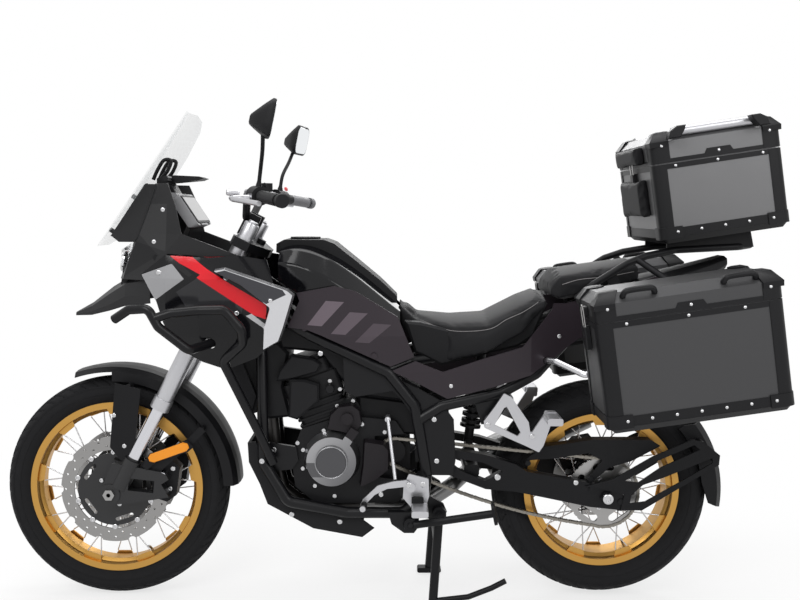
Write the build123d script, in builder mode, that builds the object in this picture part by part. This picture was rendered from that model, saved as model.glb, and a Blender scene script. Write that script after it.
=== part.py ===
from build123d import *
import os
from math import cos, sin, radians, pi

# Adventure touring motorcycle. Millimetres, +Z up, nose towards -X, rider's left towards -Y.
# The floor is Z = 0 and the origin lies under the middle of the overall box.
# It stands on its centre stand, front tyre on the floor and rear tyre just clear of it.

os.makedirs("parts", exist_ok=True)

# Driving dimensions
front_axle_x = -786.0
rear_axle_x = 650.0
front_tyre_r = 329.3
rear_tyre_r = 320.9
axle_z = front_tyre_r
front_tyre_w = 110.0
rear_tyre_w = 150.0
front_seat_r = 241.3
rear_seat_r = 215.9
front_rim_half = 43.0
rear_rim_half = 59.0
flange_h = 13.5
spoke_d = 3.6
seat_gap = 0.3
run_gap = 6.0

rake = 27.2
fork_ref = (-621.0, 618.0)
fork_offset = 34.0
fork_half = 105.0
fork_outer_d = 50.0
fork_inner_d = 41.0

grip_end_y = 428.0
pannier_in = 305.0
pannier_out = 540.0
pannier_l = 455.0
pannier_h = 331.0
pannier_tilt = 8.3
pannier_corner = (568.0, 617.0)
case_wall = 2.0
top_l = 352.0
top_w = 410.0
top_h = 286.0
top_tilt = 8.7
top_corner = (772.0, 1074.0)

stand_pivot = (167.0, 283.0)
stand_half = 142.0
stand_pin_r = 10.0
prop_pivot = (82.0, -186.0, 262.0)
prop_pin_r = 7.0
prop_ear = 12.0
stay_point = (-632.0, 1016.0)
stay_half = 150.0

up_x = sin(radians(rake))
up_z = cos(radians(rake))


def sidePlane(y):
    # drawing plane across the bike at a given Y: x runs along X, y runs along Z, faces -Y
    return Plane(origin=(0, y, 0), x_dir=(1, 0, 0), z_dir=(0, -1, 0))


def crossPlane(x, z=0.0):
    # drawing plane at a given X: x runs along Y, y runs along Z, faces +X
    return Plane(origin=(x, 0, z), x_dir=(0, 1, 0), z_dir=(1, 0, 0))


def forkPlane(y, s, back=0.0):
    # plane square to the fork, s along the leg from its reference point, back towards the rider
    x = fork_ref[0] + up_x * s + up_z * back
    z = fork_ref[1] + up_z * s - up_x * back
    return Plane(origin=(x, y, z), x_dir=(up_z, 0, -up_x), z_dir=(up_x, 0, up_z))


def propPlane(out):
    # plane square to the side stand pin, out along the pin away from the bike
    tilt = (0.0978, -0.9777, 0.1858)
    point = tuple(c + out * t for c, t in zip(prop_pivot, tilt))
    return Plane(origin=point, x_dir=(0.9952, 0.0978, -0.0093), z_dir=tilt)


def casePlane(corner, tilt, y, along=0.0, high=0.0):
    # plane of a luggage case floor: x runs backwards along the case, y across, z up from the floor
    c = cos(radians(tilt))
    s = sin(radians(tilt))
    x = corner[0] + c * along - s * high
    z = corner[1] + s * along + c * high
    return Plane(origin=(x, y, z), x_dir=(c, 0, s), z_dir=(-s, 0, c))


# ---------------------------------------------------------------- wheels
def tyreFace(x, top_r, half, seat_r, rim_half):
    # tyre section: two beads on the rim, bowed walls and a round crown
    bead = rim_half - 4.0 - seat_gap
    low = seat_r + seat_gap
    over = seat_r + flange_h + 2.5
    shoulder = top_r - half * 0.52
    mid = (over + shoulder) / 2
    wall = 9.0
    crown = 12.0
    side = half * 0.94
    with BuildSketch(crossPlane(x, axle_z)) as face:
        with BuildLine():
            Line((bead, low), (bead, over))
            ThreePointArc((bead, over), (half, mid + 6), (side, shoulder))
            ThreePointArc((side, shoulder), (0, top_r), (-side, shoulder))
            ThreePointArc((-side, shoulder), (-half, mid + 6), (-bead, over))
            Line((-bead, over), (-bead, low))
            Line((-bead, low), (-bead + 11, low))
            Line((-bead + 11, low), (-bead + 9, over))
            ThreePointArc((-bead + 9, over), (-half + wall, mid + 6), (-side + wall, shoulder - 5))
            ThreePointArc((-side + wall, shoulder - 5), (0, top_r - crown), (side - wall, shoulder - 5))
            ThreePointArc((side - wall, shoulder - 5), (half - wall, mid + 6), (bead - 9, over))
            Line((bead - 9, over), (bead - 11, low))
            Line((bead - 11, low), (bead, low))
        make_face()
    return face.sketch


def rimFace(x, seat_r, half):
    # well rim section with raised flanges and a stepped inner edge
    lip = seat_r + flange_h
    with BuildSketch(crossPlane(x, axle_z)) as face:
        with BuildLine():
            Polyline(
                (-half, lip), (-half + 4, lip), (-half + 4, seat_r), (-half + 20, seat_r - 1),
                (-half + 27, seat_r - 12), (half - 27, seat_r - 12), (half - 20, seat_r - 1), (half - 4, seat_r),
                (half - 4, lip), (half, lip), (half, seat_r - 5), (half - 16, seat_r - 8),
                (half - 24, seat_r - 17), (-half + 24, seat_r - 17), (-half + 16, seat_r - 8), (-half, seat_r - 5),
                close=True,
            )
        make_face()
    return face.sketch


front_axis = Axis((front_axle_x, 0, axle_z), (0, 1, 0))
rear_axis = Axis((rear_axle_x, 0, axle_z), (0, 1, 0))

with BuildPart() as front_tyre:
    add(tyreFace(front_axle_x, front_tyre_r, front_tyre_w / 2, front_seat_r, front_rim_half))
    revolve(axis=front_axis)
front_tyre.part.label = "front_tyre"
export_step(front_tyre.part, "parts/front_tyre.step")

with BuildPart() as rear_tyre:
    add(tyreFace(rear_axle_x, rear_tyre_r, rear_tyre_w / 2, rear_seat_r, rear_rim_half))
    revolve(axis=rear_axis)
rear_tyre.part.label = "rear_tyre"
export_step(rear_tyre.part, "parts/rear_tyre.step")

# Rims carry nine spoke lugs a side, alternating left and right
tab_w = 60.0
tab_t = 5.0
tab_h = 15.0


def spokeLugs(x, seat_r, half):
    # trapezoid lugs hanging inside the rim edge
    lugs = []
    root = seat_r - 6.5
    with BuildSketch(Plane(origin=(x, -half + 15, axle_z), x_dir=(1, 0, 0), z_dir=(0, -1, 0))) as near:
        for k in range(9):
            with Locations(Rotation(0, 0, 40 * k) * Location((0, root - tab_h / 2, 0))):
                Trapezoid(tab_w, tab_h + 4, 62, rotation=180)
    lugs.append(extrude(near.sketch, amount=tab_t))
    with BuildSketch(Plane(origin=(x, half - 15 + tab_t, axle_z), x_dir=(1, 0, 0), z_dir=(0, -1, 0))) as far:
        for k in range(9):
            with Locations(Rotation(0, 0, 40 * k + 20) * Location((0, root - tab_h / 2, 0))):
                Trapezoid(tab_w, tab_h + 4, 62, rotation=180)
    lugs.append(extrude(far.sketch, amount=tab_t))
    return lugs


with BuildPart() as front_rim:
    add(rimFace(front_axle_x, front_seat_r, front_rim_half))
    revolve(axis=front_axis)
    add(spokeLugs(front_axle_x, front_seat_r, front_rim_half))
front_rim.part.label = "front_rim"
export_step(front_rim.part, "parts/front_rim.step")

with BuildPart() as rear_rim:
    add(rimFace(rear_axle_x, rear_seat_r, rear_rim_half))
    revolve(axis=rear_axis)
    add(spokeLugs(rear_axle_x, rear_seat_r, rear_rim_half))
rear_rim.part.label = "rear_rim"
export_step(rear_rim.part, "parts/rear_rim.step")


def spokeEnds(x, hub_r, hub_y, lug_r, lug_y, shift):
    # two crossed spokes for each lug: (hub point, lug point)
    ends = []
    for k in range(9):
        for lean in (-1, 1):
            a = radians(90 + 40 * k + shift + 5.5 * lean)
            b = radians(90 + 40 * k + shift - 38 * lean)
            y = hub_y - 2.2 * lean
            ends.append(
                (
                    (x + hub_r * cos(b), y, axle_z + hub_r * sin(b)),
                    (x + lug_r * cos(a), lug_y, axle_z + lug_r * sin(a)),
                )
            )
    return ends


front_lug_r = front_seat_r - 6.5 - tab_h - 2 - seat_gap
rear_lug_r = rear_seat_r - 6.5 - tab_h - 2 - seat_gap
front_disc_r = 157.0
front_disc_y = 64.0
disc_t = 4.5
hub_end = front_disc_y - disc_t / 2
front_hub_r = 54.0
rear_hub_r = 66.0
front_flange_y = 38.0
rear_flange_y = 44.0

with BuildPart() as front_hub:
    with BuildSketch(crossPlane(front_axle_x, axle_z)):
        with BuildLine():
            Polyline(
                (-hub_end, 12.4), (hub_end, 12.4), (hub_end, 44), (50, 44), (44, 34), (44, front_hub_r + 6), (32, front_hub_r + 6),
                (28, 30), (-28, 30), (-32, front_hub_r + 6), (-44, front_hub_r + 6), (-44, 34), (-50, 44), (-hub_end, 44),
                close=True,
            )
        make_face()
    revolve(axis=front_axis)
    for hub_y, lug_y, shift in ((-front_flange_y, -front_rim_half + 12.5, 0), (front_flange_y, front_rim_half - 12.5, 20)):
        for start, stop in spokeEnds(front_axle_x, front_hub_r, hub_y, front_lug_r, lug_y, shift):
            with BuildLine() as spoke:
                Line(start, stop)
            with BuildSketch(Plane(origin=start, z_dir=spoke.line % 0)):
                Circle(spoke_d / 2)
            sweep(path=spoke.line)
front_hub.part.label = "front_hub"
export_step(front_hub.part, "parts/front_hub.step")

with BuildPart() as rear_hub:
    with BuildSketch(crossPlane(rear_axle_x, axle_z)):
        with BuildLine():
            Polyline(
                (-76, 12.4), (70, 12.4), (70, 52), (56, 52), (50, 40), (50, rear_hub_r + 6), (38, rear_hub_r + 6),
                (34, 36), (-34, 36), (-38, rear_hub_r + 6), (-50, rear_hub_r + 6), (-50, 62), (-76, 62),
                close=True,
            )
        make_face()
    revolve(axis=rear_axis)
    for hub_y, lug_y, shift in ((-rear_flange_y, -rear_rim_half + 12.5, 0), (rear_flange_y, rear_rim_half - 12.5, 20)):
        for start, stop in spokeEnds(rear_axle_x, rear_hub_r, hub_y, rear_lug_r, lug_y, shift):
            with BuildLine() as spoke:
                Line(start, stop)
            with BuildSketch(Plane(origin=start, z_dir=spoke.line % 0)):
                Circle(spoke_d / 2)
            sweep(path=spoke.line)
rear_hub.part.label = "rear_hub"
export_step(rear_hub.part, "parts/rear_hub.step")

# Petal discs: waved outer edge, round holes, black carrier inside
with BuildPart() as front_discs:
    for y in (-front_disc_y + disc_t / 2, front_disc_y + disc_t / 2):
        with BuildSketch(Plane(origin=(front_axle_x, y, axle_z), x_dir=(1, 0, 0), z_dir=(0, -1, 0))):
            Circle(front_disc_r)
            with PolarLocations(front_disc_r + 6, 10):
                Circle(13, mode=Mode.SUBTRACT)
            Circle(118, mode=Mode.SUBTRACT)
            with PolarLocations(144, 20):
                Circle(3.2, mode=Mode.SUBTRACT)
            with PolarLocations(130, 20, start_angle=9):
                Circle(3.2, mode=Mode.SUBTRACT)
        extrude(amount=disc_t)
        with BuildSketch(Plane(origin=(front_axle_x, y, axle_z), x_dir=(1, 0, 0), z_dir=(0, -1, 0))):
            Circle(108)
            Circle(30, mode=Mode.SUBTRACT)
            with PolarLocations(88, 5):
                SlotCenterToCenter(44, 12, rotation=90, mode=Mode.SUBTRACT)
            with PolarLocations(112, 10, start_angle=18):
                Circle(9)
        extrude(amount=disc_t)
front_discs.part.label = "front_discs"
export_step(front_discs.part, "parts/front_discs.step")

rear_disc_y = 84.0
with BuildPart() as rear_disc:
    with BuildSketch(Plane(origin=(rear_axle_x, rear_disc_y + disc_t, axle_z), x_dir=(1, 0, 0), z_dir=(0, -1, 0))):
        Circle(120)
        with PolarLocations(126, 10):
            Circle(12, mode=Mode.SUBTRACT)
        Circle(46, mode=Mode.SUBTRACT)
        with PolarLocations(108, 20):
            Circle(3.2, mode=Mode.SUBTRACT)
        with PolarLocations(75, 5):
            SlotCenterToCenter(34, 14, rotation=90, mode=Mode.SUBTRACT)
    extrude(amount=disc_t)
    with BuildSketch(crossPlane(rear_axle_x, axle_z)):
        with Locations((77.15, 49.0)):
            Rectangle(13.7, 6.0)
    revolve(axis=rear_axis)
rear_disc.part.label = "rear_disc"
export_step(rear_disc.part, "parts/rear_disc.step")

chain_y = -88.0
sprocket_r = 106.0
sprocket_teeth = 42
with BuildPart() as rear_sprocket:
    with BuildSketch(Plane(origin=(rear_axle_x, chain_y + 3, axle_z), x_dir=(1, 0, 0), z_dir=(0, -1, 0))):
        Circle(sprocket_r)
        with PolarLocations(sprocket_r + 2.5, sprocket_teeth):
            Circle(4.6, mode=Mode.SUBTRACT)
        Circle(34, mode=Mode.SUBTRACT)
        with PolarLocations(76, 5, start_angle=18):
            SlotCenterToCenter(44, 22, rotation=90, mode=Mode.SUBTRACT)
    extrude(amount=6)
    with BuildSketch(crossPlane(rear_axle_x, axle_z)):
        with Locations(((-76.3 + chain_y + 3) / 2, 47)):
            Rectangle(abs(chain_y + 3 + 76.3), 22)
    revolve(axis=rear_axis)
rear_sprocket.part.label = "rear_sprocket"
export_step(rear_sprocket.part, "parts/rear_sprocket.step")

# ---------------------------------------------------------------- steering
foot_s = (axle_z - fork_ref[1]) / up_z
collar_s = -31.0
lower_yoke_s = 262.0
upper_yoke_s = 478.0
fork_top_s = 512.0


def forkLeg(y):
    out = -1 if y < 0 else 1
    with BuildPart() as leg:
        # chrome slider
        with BuildSketch(forkPlane(y, foot_s + 60)):
            Circle(fork_inner_d / 2)
        extrude(amount=collar_s - foot_s - 40)
        # collar and outer tube
        with BuildSketch(forkPlane(y, collar_s - 14)):
            Circle(28.5)
        extrude(amount=34)
        with BuildSketch(forkPlane(y, collar_s)):
            Circle(fork_outer_d / 2)
        extrude(amount=fork_top_s - collar_s)
        # foot with the axle clamp
        with BuildSketch(forkPlane(y, foot_s + 20)):
            Circle(26)
        extrude(amount=92)
        with BuildSketch(sidePlane(y - 20)):
            with Locations((front_axle_x, axle_z)):
                Circle(31)
        extrude(amount=-40)
        with BuildSketch(sidePlane(y - 17)):
            with BuildLine():
                Polyline(
                    (front_axle_x - 24, axle_z + 14), (front_axle_x + 10, axle_z + 92),
                    (front_axle_x + 78, axle_z + 80), (front_axle_x + 160, axle_z + 64),
                    (front_axle_x + 172, axle_z + 44), (front_axle_x + 150, axle_z + 30),
                    (front_axle_x + 172, axle_z - 8), (front_axle_x + 60, axle_z - 26),
                    (front_axle_x + 8, axle_z - 30), close=True,
                )
            make_face()
            with Locations((front_axle_x + 92, axle_z + 26)):
                Rectangle(74, 36, rotation=-6, mode=Mode.SUBTRACT)
        extrude(amount=-10 if out > 0 else -34)
        with BuildSketch(sidePlane(y - 60)):
            with Locations((front_axle_x, axle_z)):
                Circle(12.3)
        extrude(amount=-120, mode=Mode.SUBTRACT)
    return leg.part


left_fork = forkLeg(-fork_half)
left_fork.label = "left_fork"
export_step(left_fork, "parts/left_fork.step")
right_fork = mirror(left_fork, about=Plane.XZ)
right_fork.label = "right_fork"
export_step(right_fork, "parts/right_fork.step")

with BuildPart() as front_axle:
    with BuildSketch(sidePlane(-fork_half - 24)):
        with Locations((front_axle_x, axle_z)):
            Circle(12)
            Circle(6, mode=Mode.SUBTRACT)
    extrude(amount=-2 * fork_half - 48)
    for y, lift in ((-fork_half - 20.3, 7), (fork_half + 20.3, -7)):
        with BuildSketch(sidePlane(y)):
            with Locations((front_axle_x, axle_z)):
                RegularPolygon(17, 6)
                Circle(6, mode=Mode.SUBTRACT)
        extrude(amount=lift)
    # spacers between the hub and the fork feet
    spacer_in = hub_end + 0.75
    spacer_out = fork_half - 20 - seat_gap
    for y in (-spacer_in, spacer_out):
        with BuildSketch(sidePlane(y)):
            with Locations((front_axle_x, axle_z)):
                Circle(18)
                Circle(6, mode=Mode.SUBTRACT)
        extrude(amount=spacer_out - spacer_in)
front_axle.part.label = "front_axle"
export_step(front_axle.part, "parts/front_axle.step")

with BuildPart() as fork_yokes:
    for s, t in ((lower_yoke_s, 34), (upper_yoke_s, 26)):
        with BuildSketch(forkPlane(0, s)):
            with BuildLine():
                Polyline(
                    (-34, -fork_half), (-24, -fork_half - 36), (24, -fork_half - 36), (40, -fork_half),
                    (74, -30), (74, 30), (40, fork_half), (24, fork_half + 36), (-24, fork_half + 36),
                    (-34, fork_half), (-6, 50), (-6, -50), close=True,
                )
            make_face()
            with Locations((0, -fork_half), (0, fork_half)):
                Circle(fork_outer_d / 2 + seat_gap, mode=Mode.SUBTRACT)
        extrude(amount=t)
    with BuildSketch(forkPlane(0, lower_yoke_s + 10, fork_offset)):
        Circle(13)
    extrude(amount=upper_yoke_s - lower_yoke_s + 30)
fork_yokes.part.label = "fork_yokes"
export_step(fork_yokes.part, "parts/fork_yokes.step")

mudguard_r = 365.0
with BuildPart() as front_mudguard:
    with BuildSketch(crossPlane(front_axle_x, axle_z)):
        with BuildLine():
            Polyline(
                (-71, 322), (-71, 350), (-50, 362), (-20, mudguard_r), (20, mudguard_r), (50, 362), (71, 350),
                (71, 322), (68, 322), (68, 348.5), (49, 359), (20, mudguard_r - 3), (-20, mudguard_r - 3),
                (-49, 359), (-68, 348.5), (-68, 322), close=True,
            )
        make_face()
    revolve(axis=Axis((front_axle_x, 0, axle_z), (0, 1, 0)), revolution_arc=88)
    # the arc is turned from the top towards the rear
    # nose of the guard
    with BuildSketch(crossPlane(front_axle_x, axle_z)):
        with BuildLine():
            Polyline(
                (-71, 350), (-50, 362), (-20, mudguard_r), (20, mudguard_r), (50, 362), (71, 350),
                (68, 348.5), (49, 359), (20, mudguard_r - 3), (-20, mudguard_r - 3), (-49, 359), (-68, 348.5),
                close=True,
            )
        make_face()
    revolve(axis=Axis((front_axle_x, 0, axle_z), (0, -1, 0)), revolution_arc=18)
    # side stays from the fork feet, and the reflector arms
    for y in (-112, 108):
        with BuildSketch(sidePlane(y)):
            with BuildLine():
                Polyline((-766, 653), (-692, 636), (-716, 446), (-752, 425), (-784, 466), close=True)
            make_face()
        extrude(amount=-4)
        with BuildSketch(sidePlane(y)):
            with BuildLine():
                Polyline(
                    (-704, 398), (-690, 424), (-559, 491), (-524, 527), (-508, 513), (-550, 471), (-646, 390), close=True
                )
            make_face()
        extrude(amount=-4)
    for a, b in ((-112, -68), (68, 112)):
        with BuildSketch(sidePlane(a)):
            with Locations((-730, 640)):
                Circle(9)
            with Locations((-521, 516)):
                Circle(8)
        extrude(amount=a - b)
    add(left_fork, mode=Mode.SUBTRACT)
    add(right_fork, mode=Mode.SUBTRACT)
front_mudguard.part.label = "front_mudguard"
export_step(front_mudguard.part, "parts/front_mudguard.step")

with BuildPart() as front_calipers:
    for side in (-1, 1):
        with BuildSketch(sidePlane(side * 66.35 + 21.15)):
            with BuildLine():
                Polyline((-676, 408), (-612, 424), (-588, 400), (-600, 318), (-628, 298), (-668, 312), close=True)
            make_face()
        extrude(amount=42.3)
        with BuildSketch(sidePlane(side * front_disc_y + disc_t / 2 + 5)):
            with BuildLine():
                Polyline((-720, 430), (-627, 418), (-622, 300), (-720, 280), close=True)
            make_face()
        extrude(amount=disc_t + 10, mode=Mode.SUBTRACT)
    add(left_fork, mode=Mode.SUBTRACT)
    add(right_fork, mode=Mode.SUBTRACT)
front_calipers.part.label = "front_calipers"
export_step(front_calipers.part, "parts/front_calipers.step")

# Handlebar with risers and the accessory crossbar is a separate piece of the dash
bar_d = 22.0
bar_points = (
    (-392, 0, 1128), (-392, -62, 1128), (-372, -168, 1196), (-253, -grip_end_y + 16, 1173.6),
)
with BuildPart() as handlebar:
    for side in (1, -1):
        with BuildLine() as run:
            FilletPolyline(*[(x, side * y, z) for x, y, z in bar_points], radius=42)
        with BuildSketch(Plane(origin=run.line @ 0, z_dir=run.line % 0)):
            Circle(bar_d / 2)
        sweep(path=run.line)
    for y in (-36, 36):
        with BuildSketch(forkPlane(y, upper_yoke_s + 26 + seat_gap, -14)):
            RectangleRounded(44, 26, 6)
        extrude(amount=72)
handlebar.part.label = "handlebar"
export_step(handlebar.part, "parts/handlebar.step")

grip_start = (-372 + (119 * 0.44), 168 + 0.44 * (grip_end_y - 184), 1196 - 0.44 * 22.4)


def gripPoint(t, side):
    x = -372 + 119 * t
    y = 168 + (grip_end_y - 184) * t
    z = 1196 - 22.4 * t
    return (x, side * y, z)


with BuildPart() as hand_controls:
    for side in (-1, 1):
        along = (
            gripPoint(1, side)[0] - gripPoint(0, side)[0],
            gripPoint(1, side)[1] - gripPoint(0, side)[1],
            gripPoint(1, side)[2] - gripPoint(0, side)[2],
        )
        # grip, bar-end weight and switch housing
        for t, radius, length in ((0.46, 16.5, 132), (1.002, 18.0, 16), (0.24, 25.0, 50)):
            with BuildSketch(Plane(origin=gripPoint(t, side), x_dir=(0.45, 0, 0.9), z_dir=along)):
                Circle(radius)
            extrude(amount=length)
        # lever with its perch
        with BuildLine() as run:
            FilletPolyline(
                (gripPoint(0.36, side)[0] - 24, side * 262, gripPoint(0.36, side)[2] - 4),
                (gripPoint(0.36, side)[0] - 72, side * 276, gripPoint(0.36, side)[2] - 6),
                (gripPoint(0.5, side)[0] - 78, side * 300, 1178),
                (gripPoint(0.98, side)[0] - 52, side * 408, 1166),
                radius=9,
            )
        with BuildSketch(Plane(origin=run.line @ 0, z_dir=run.line % 0)):
            Circle(7)
        sweep(path=run.line)
    # brake fluid cup on the right bar
    with BuildSketch(Plane.XY.offset(1204)):
        with Locations((-372, 222)):
            Circle(22)
    extrude(amount=30)
    with BuildSketch(Plane.XY.offset(1186)):
        with Locations((-360, 222)):
            Rectangle(24, 18)
    extrude(amount=20)
    add(handlebar.part, mode=Mode.SUBTRACT)
hand_controls.part.label = "hand_controls"
export_step(hand_controls.part, "parts/hand_controls.step")

with BuildPart() as mirrors:
    for side in (-1, 1):
        with BuildLine() as run:
            FilletPolyline(
                (-330, side * 248, 1212), (-322, side * 262, 1262), (-296, side * 380, 1345), (-292, side * 397, 1372),
                radius=12,
            )
        with BuildSketch(Plane(origin=run.line @ 0, z_dir=run.line % 0)):
            Circle(5.5)
        sweep(path=run.line)
        with BuildSketch(Plane(origin=(-272, side * 397, 1378), x_dir=(0, 1, 0), z_dir=(-0.98, 0, 0.2))):
            RectangleRounded(150, 96, 30)
        extrude(amount=26)
    add(hand_controls.part, mode=Mode.SUBTRACT)
mirrors.part.label = "mirrors"
export_step(mirrors.part, "parts/mirrors.step")

# ---------------------------------------------------------------- frame and engine
tube_d = 32.0
front_sprocket = (36.0, 452.0)
front_pitch_r = 38.0
engine_half = 105.0
swing_pivot = (118.0, 452.0)
frame_runs = (
    # main rail from the head to the swingarm pivot, one side
    (
        (-396, -20, 985), (-352, -42, 946), (-284, -104, 884), (-246, -156, 826), (-200, -162, 800), (20, -162, 695),
        (96, -158, 600), (130, -150, 400),
    ),
    # down tube from the head to the cradle
    (
        (-410, -30, 880), (-368, -60, 838), (-345, -100, 740), (-340, -128, 570), (-338, -136, 430),
        (-268, -140, 316), (-97, -140, 284), (60, -140, 284), (122, -146, 330), (130, -150, 400),
    ),
    # seat rail and its brace
    ((10, -158, 700), (80, -126, 722), (150, -118, 735), (420, -112, 790), (700, -96, 915)),
    ((108, -156, 560), (170, -152, 598), (340, -150, 636), (440, -138, 690), (600, -104, 862)),
)
head_low = lower_yoke_s + 34 + 4
head_high = upper_yoke_s - 4
with BuildPart() as main_frame:
    with BuildSketch(forkPlane(0, head_low, fork_offset)):
        Circle(32)
    extrude(amount=head_high - head_low)
    for points in frame_runs:
        for side in (1, -1):
            with BuildLine() as run:
                FilletPolyline(*[(x, side * y, z) for x, y, z in points], radius=34)
            with BuildSketch(Plane(origin=run.line @ 0, z_dir=run.line % 0)):
                Circle(tube_d / 2)
            sweep(path=run.line)
    for x, z, half in ((-180, 790, 160), (swing_pivot[0], swing_pivot[1], 152), (95, 294, 140), (300, 765, 116), (690, 910, 98)):
        with BuildSketch(sidePlane(-half)):
            with Locations((x, z)):
                Circle(13)
        extrude(amount=-2 * half)
    # gussets round the head
    with BuildSketch(sidePlane(-36)):
        with BuildLine():
            Polyline((-418, 905), (-380, 985), (-310, 915), (-250, 850), (-330, 815), (-392, 856), close=True)
        make_face()
    extrude(amount=-72)
    # stand lugs
    for side in (-1, 1):
        with BuildSketch(sidePlane(side * 123 + 5)):
            with BuildLine():
                Polyline((60, 290), (140, 330), (180, 306), (190, 283), (178, 264), (150, 262), (60, 268), close=True)
            make_face()
        extrude(amount=10)
        with BuildSketch(sidePlane(side * 135 + 23)):
            with Locations(stand_pivot):
                Circle(stand_pin_r)
        extrude(amount=46)
    # gussets for the passenger brackets
    for side in (-1, 1):
        with BuildSketch(sidePlane(side * 150 + 5)):
            with BuildLine():
                Polyline((262, 618), (346, 640), (366, 630), (362, 606), (322, 546), (284, 546), close=True)
            make_face()
        extrude(amount=10)
    # engine mounts: plates on the down tubes and bosses ahead of the swingarm
    for side in (-1, 1):
        with BuildSketch(sidePlane(side * (engine_half + seat_gap + 6) + 6)):
            with BuildLine():
                Polyline((-348, 476), (-322, 482), (-246, 470), (-240, 430), (-258, 404), (-330, 396), (-346, 410), close=True)
            make_face()
        extrude(amount=12)
        with BuildSketch(sidePlane(side * 146 + 5)):
            with BuildLine():
                Polyline((50, 372), (80, 384), (136, 430), (136, 356), (84, 330), (54, 338), close=True)
            make_face()
        extrude(amount=10)
        inner = engine_half + seat_gap
        with BuildSketch(sidePlane(-150 if side < 0 else inner)):
            with Locations((68, 356)):
                Circle(13)
        extrude(amount=inner - 150)
    # fairing stay between the yokes, with its cross tube
    with BuildLine() as run:
        FilletPolyline((-400, 0, 958), (-520, 0, 972), (-640, 0, 1020), (-668, 0, 1064), radius=30)
    with BuildSketch(Plane(origin=run.line @ 0, z_dir=run.line % 0)):
        Circle(13)
    sweep(path=run.line)
    with BuildSketch(sidePlane(-stay_half)):
        with Locations(stay_point):
            Circle(9)
    extrude(amount=-2 * stay_half)
    # side stand bracket and pin under the left cradle tube
    with BuildSketch(sidePlane(-150)):
        with BuildLine():
            Polyline((20, 296), (110, 296), (106, 252), (94, 236), (66, 236), (30, 262), close=True)
        make_face()
    extrude(amount=28)
    with BuildSketch(propPlane(-24)):
        Circle(19)
    extrude(amount=24)
    with BuildSketch(propPlane(-24)):
        Circle(prop_pin_r)
    extrude(amount=24 + prop_ear + 4)
    # bore the head for the stem
    with BuildSketch(forkPlane(0, head_low - 20, fork_offset)):
        Circle(13.5)
    extrude(amount=head_high - head_low + 40, mode=Mode.SUBTRACT)
main_frame.part.label = "main_frame"
export_step(main_frame.part, "parts/main_frame.step")

cylinder_tilt = 20.0
with BuildPart() as engine:
    # crankcase
    with BuildSketch(sidePlane(-engine_half)):
        with BuildLine():
            Polyline(
                (-262, 440), (-232, 520), (-110, 560), (40, 545), (84, 480), (84, 340), (50, 304), (-190, 300),
                (-250, 350), close=True,
            )
        make_face()
        fillet(vertices(), 14)
    extrude(amount=-2 * engine_half)
    # twin cylinders with ribs, head and cam cover, leaning forward
    bore_up = Plane(
        origin=(-158, 0, 532), x_dir=(cos(radians(cylinder_tilt)), 0, sin(radians(cylinder_tilt))),
        z_dir=(-sin(radians(cylinder_tilt)), 0, cos(radians(cylinder_tilt))),
    )
    for low, high, length, width, r in (
        (0, 96, 142, 184, 18), (14, 20, 154, 196, 14), (32, 38, 154, 196, 14), (50, 56, 154, 196, 14),
        (68, 74, 154, 196, 14), (84, 146, 164, 206, 12), (146, 152, 150, 190, 10), (152, 188, 136, 214, 22),
        (188, 204, 108, 190, 20),
    ):
        with BuildSketch(bore_up.offset(low)):
            RectangleRounded(length, width, r)
        extrude(amount=high - low)
    # intake stubs behind the head and the starter boss
    for y in (-46, 46):
        with BuildSketch(Plane(origin=(-120, y, 668), x_dir=(0, 1, 0), z_dir=(0.88, 0, 0.47))):
            Circle(25)
        extrude(amount=84)
    with BuildSketch(sidePlane(-90)):
        with Locations((-96, 574)):
            Circle(34)
    extrude(amount=-150)
    # room for the drive chain behind the left cover
    with BuildSketch(sidePlane(-74)):
        with BuildLine():
            Polyline((-20, 500), (110, 510), (110, 360), (-20, 380), close=True)
        make_face()
    extrude(amount=60, mode=Mode.SUBTRACT)
    # front sprocket inside the chain
    with BuildSketch(sidePlane(-70)):
        with Locations(front_sprocket):
            Circle(15)
    extrude(amount=22.2)
    with BuildSketch(sidePlane(chain_y + 4.2)):
        with Locations(front_sprocket):
            Circle(front_pitch_r - 4)
            with PolarLocations(front_pitch_r, 15):
                Circle(5.3, mode=Mode.SUBTRACT)
    extrude(amount=8.4)
engine.part.label = "engine"
export_step(engine.part, "parts/engine.step")

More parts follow.
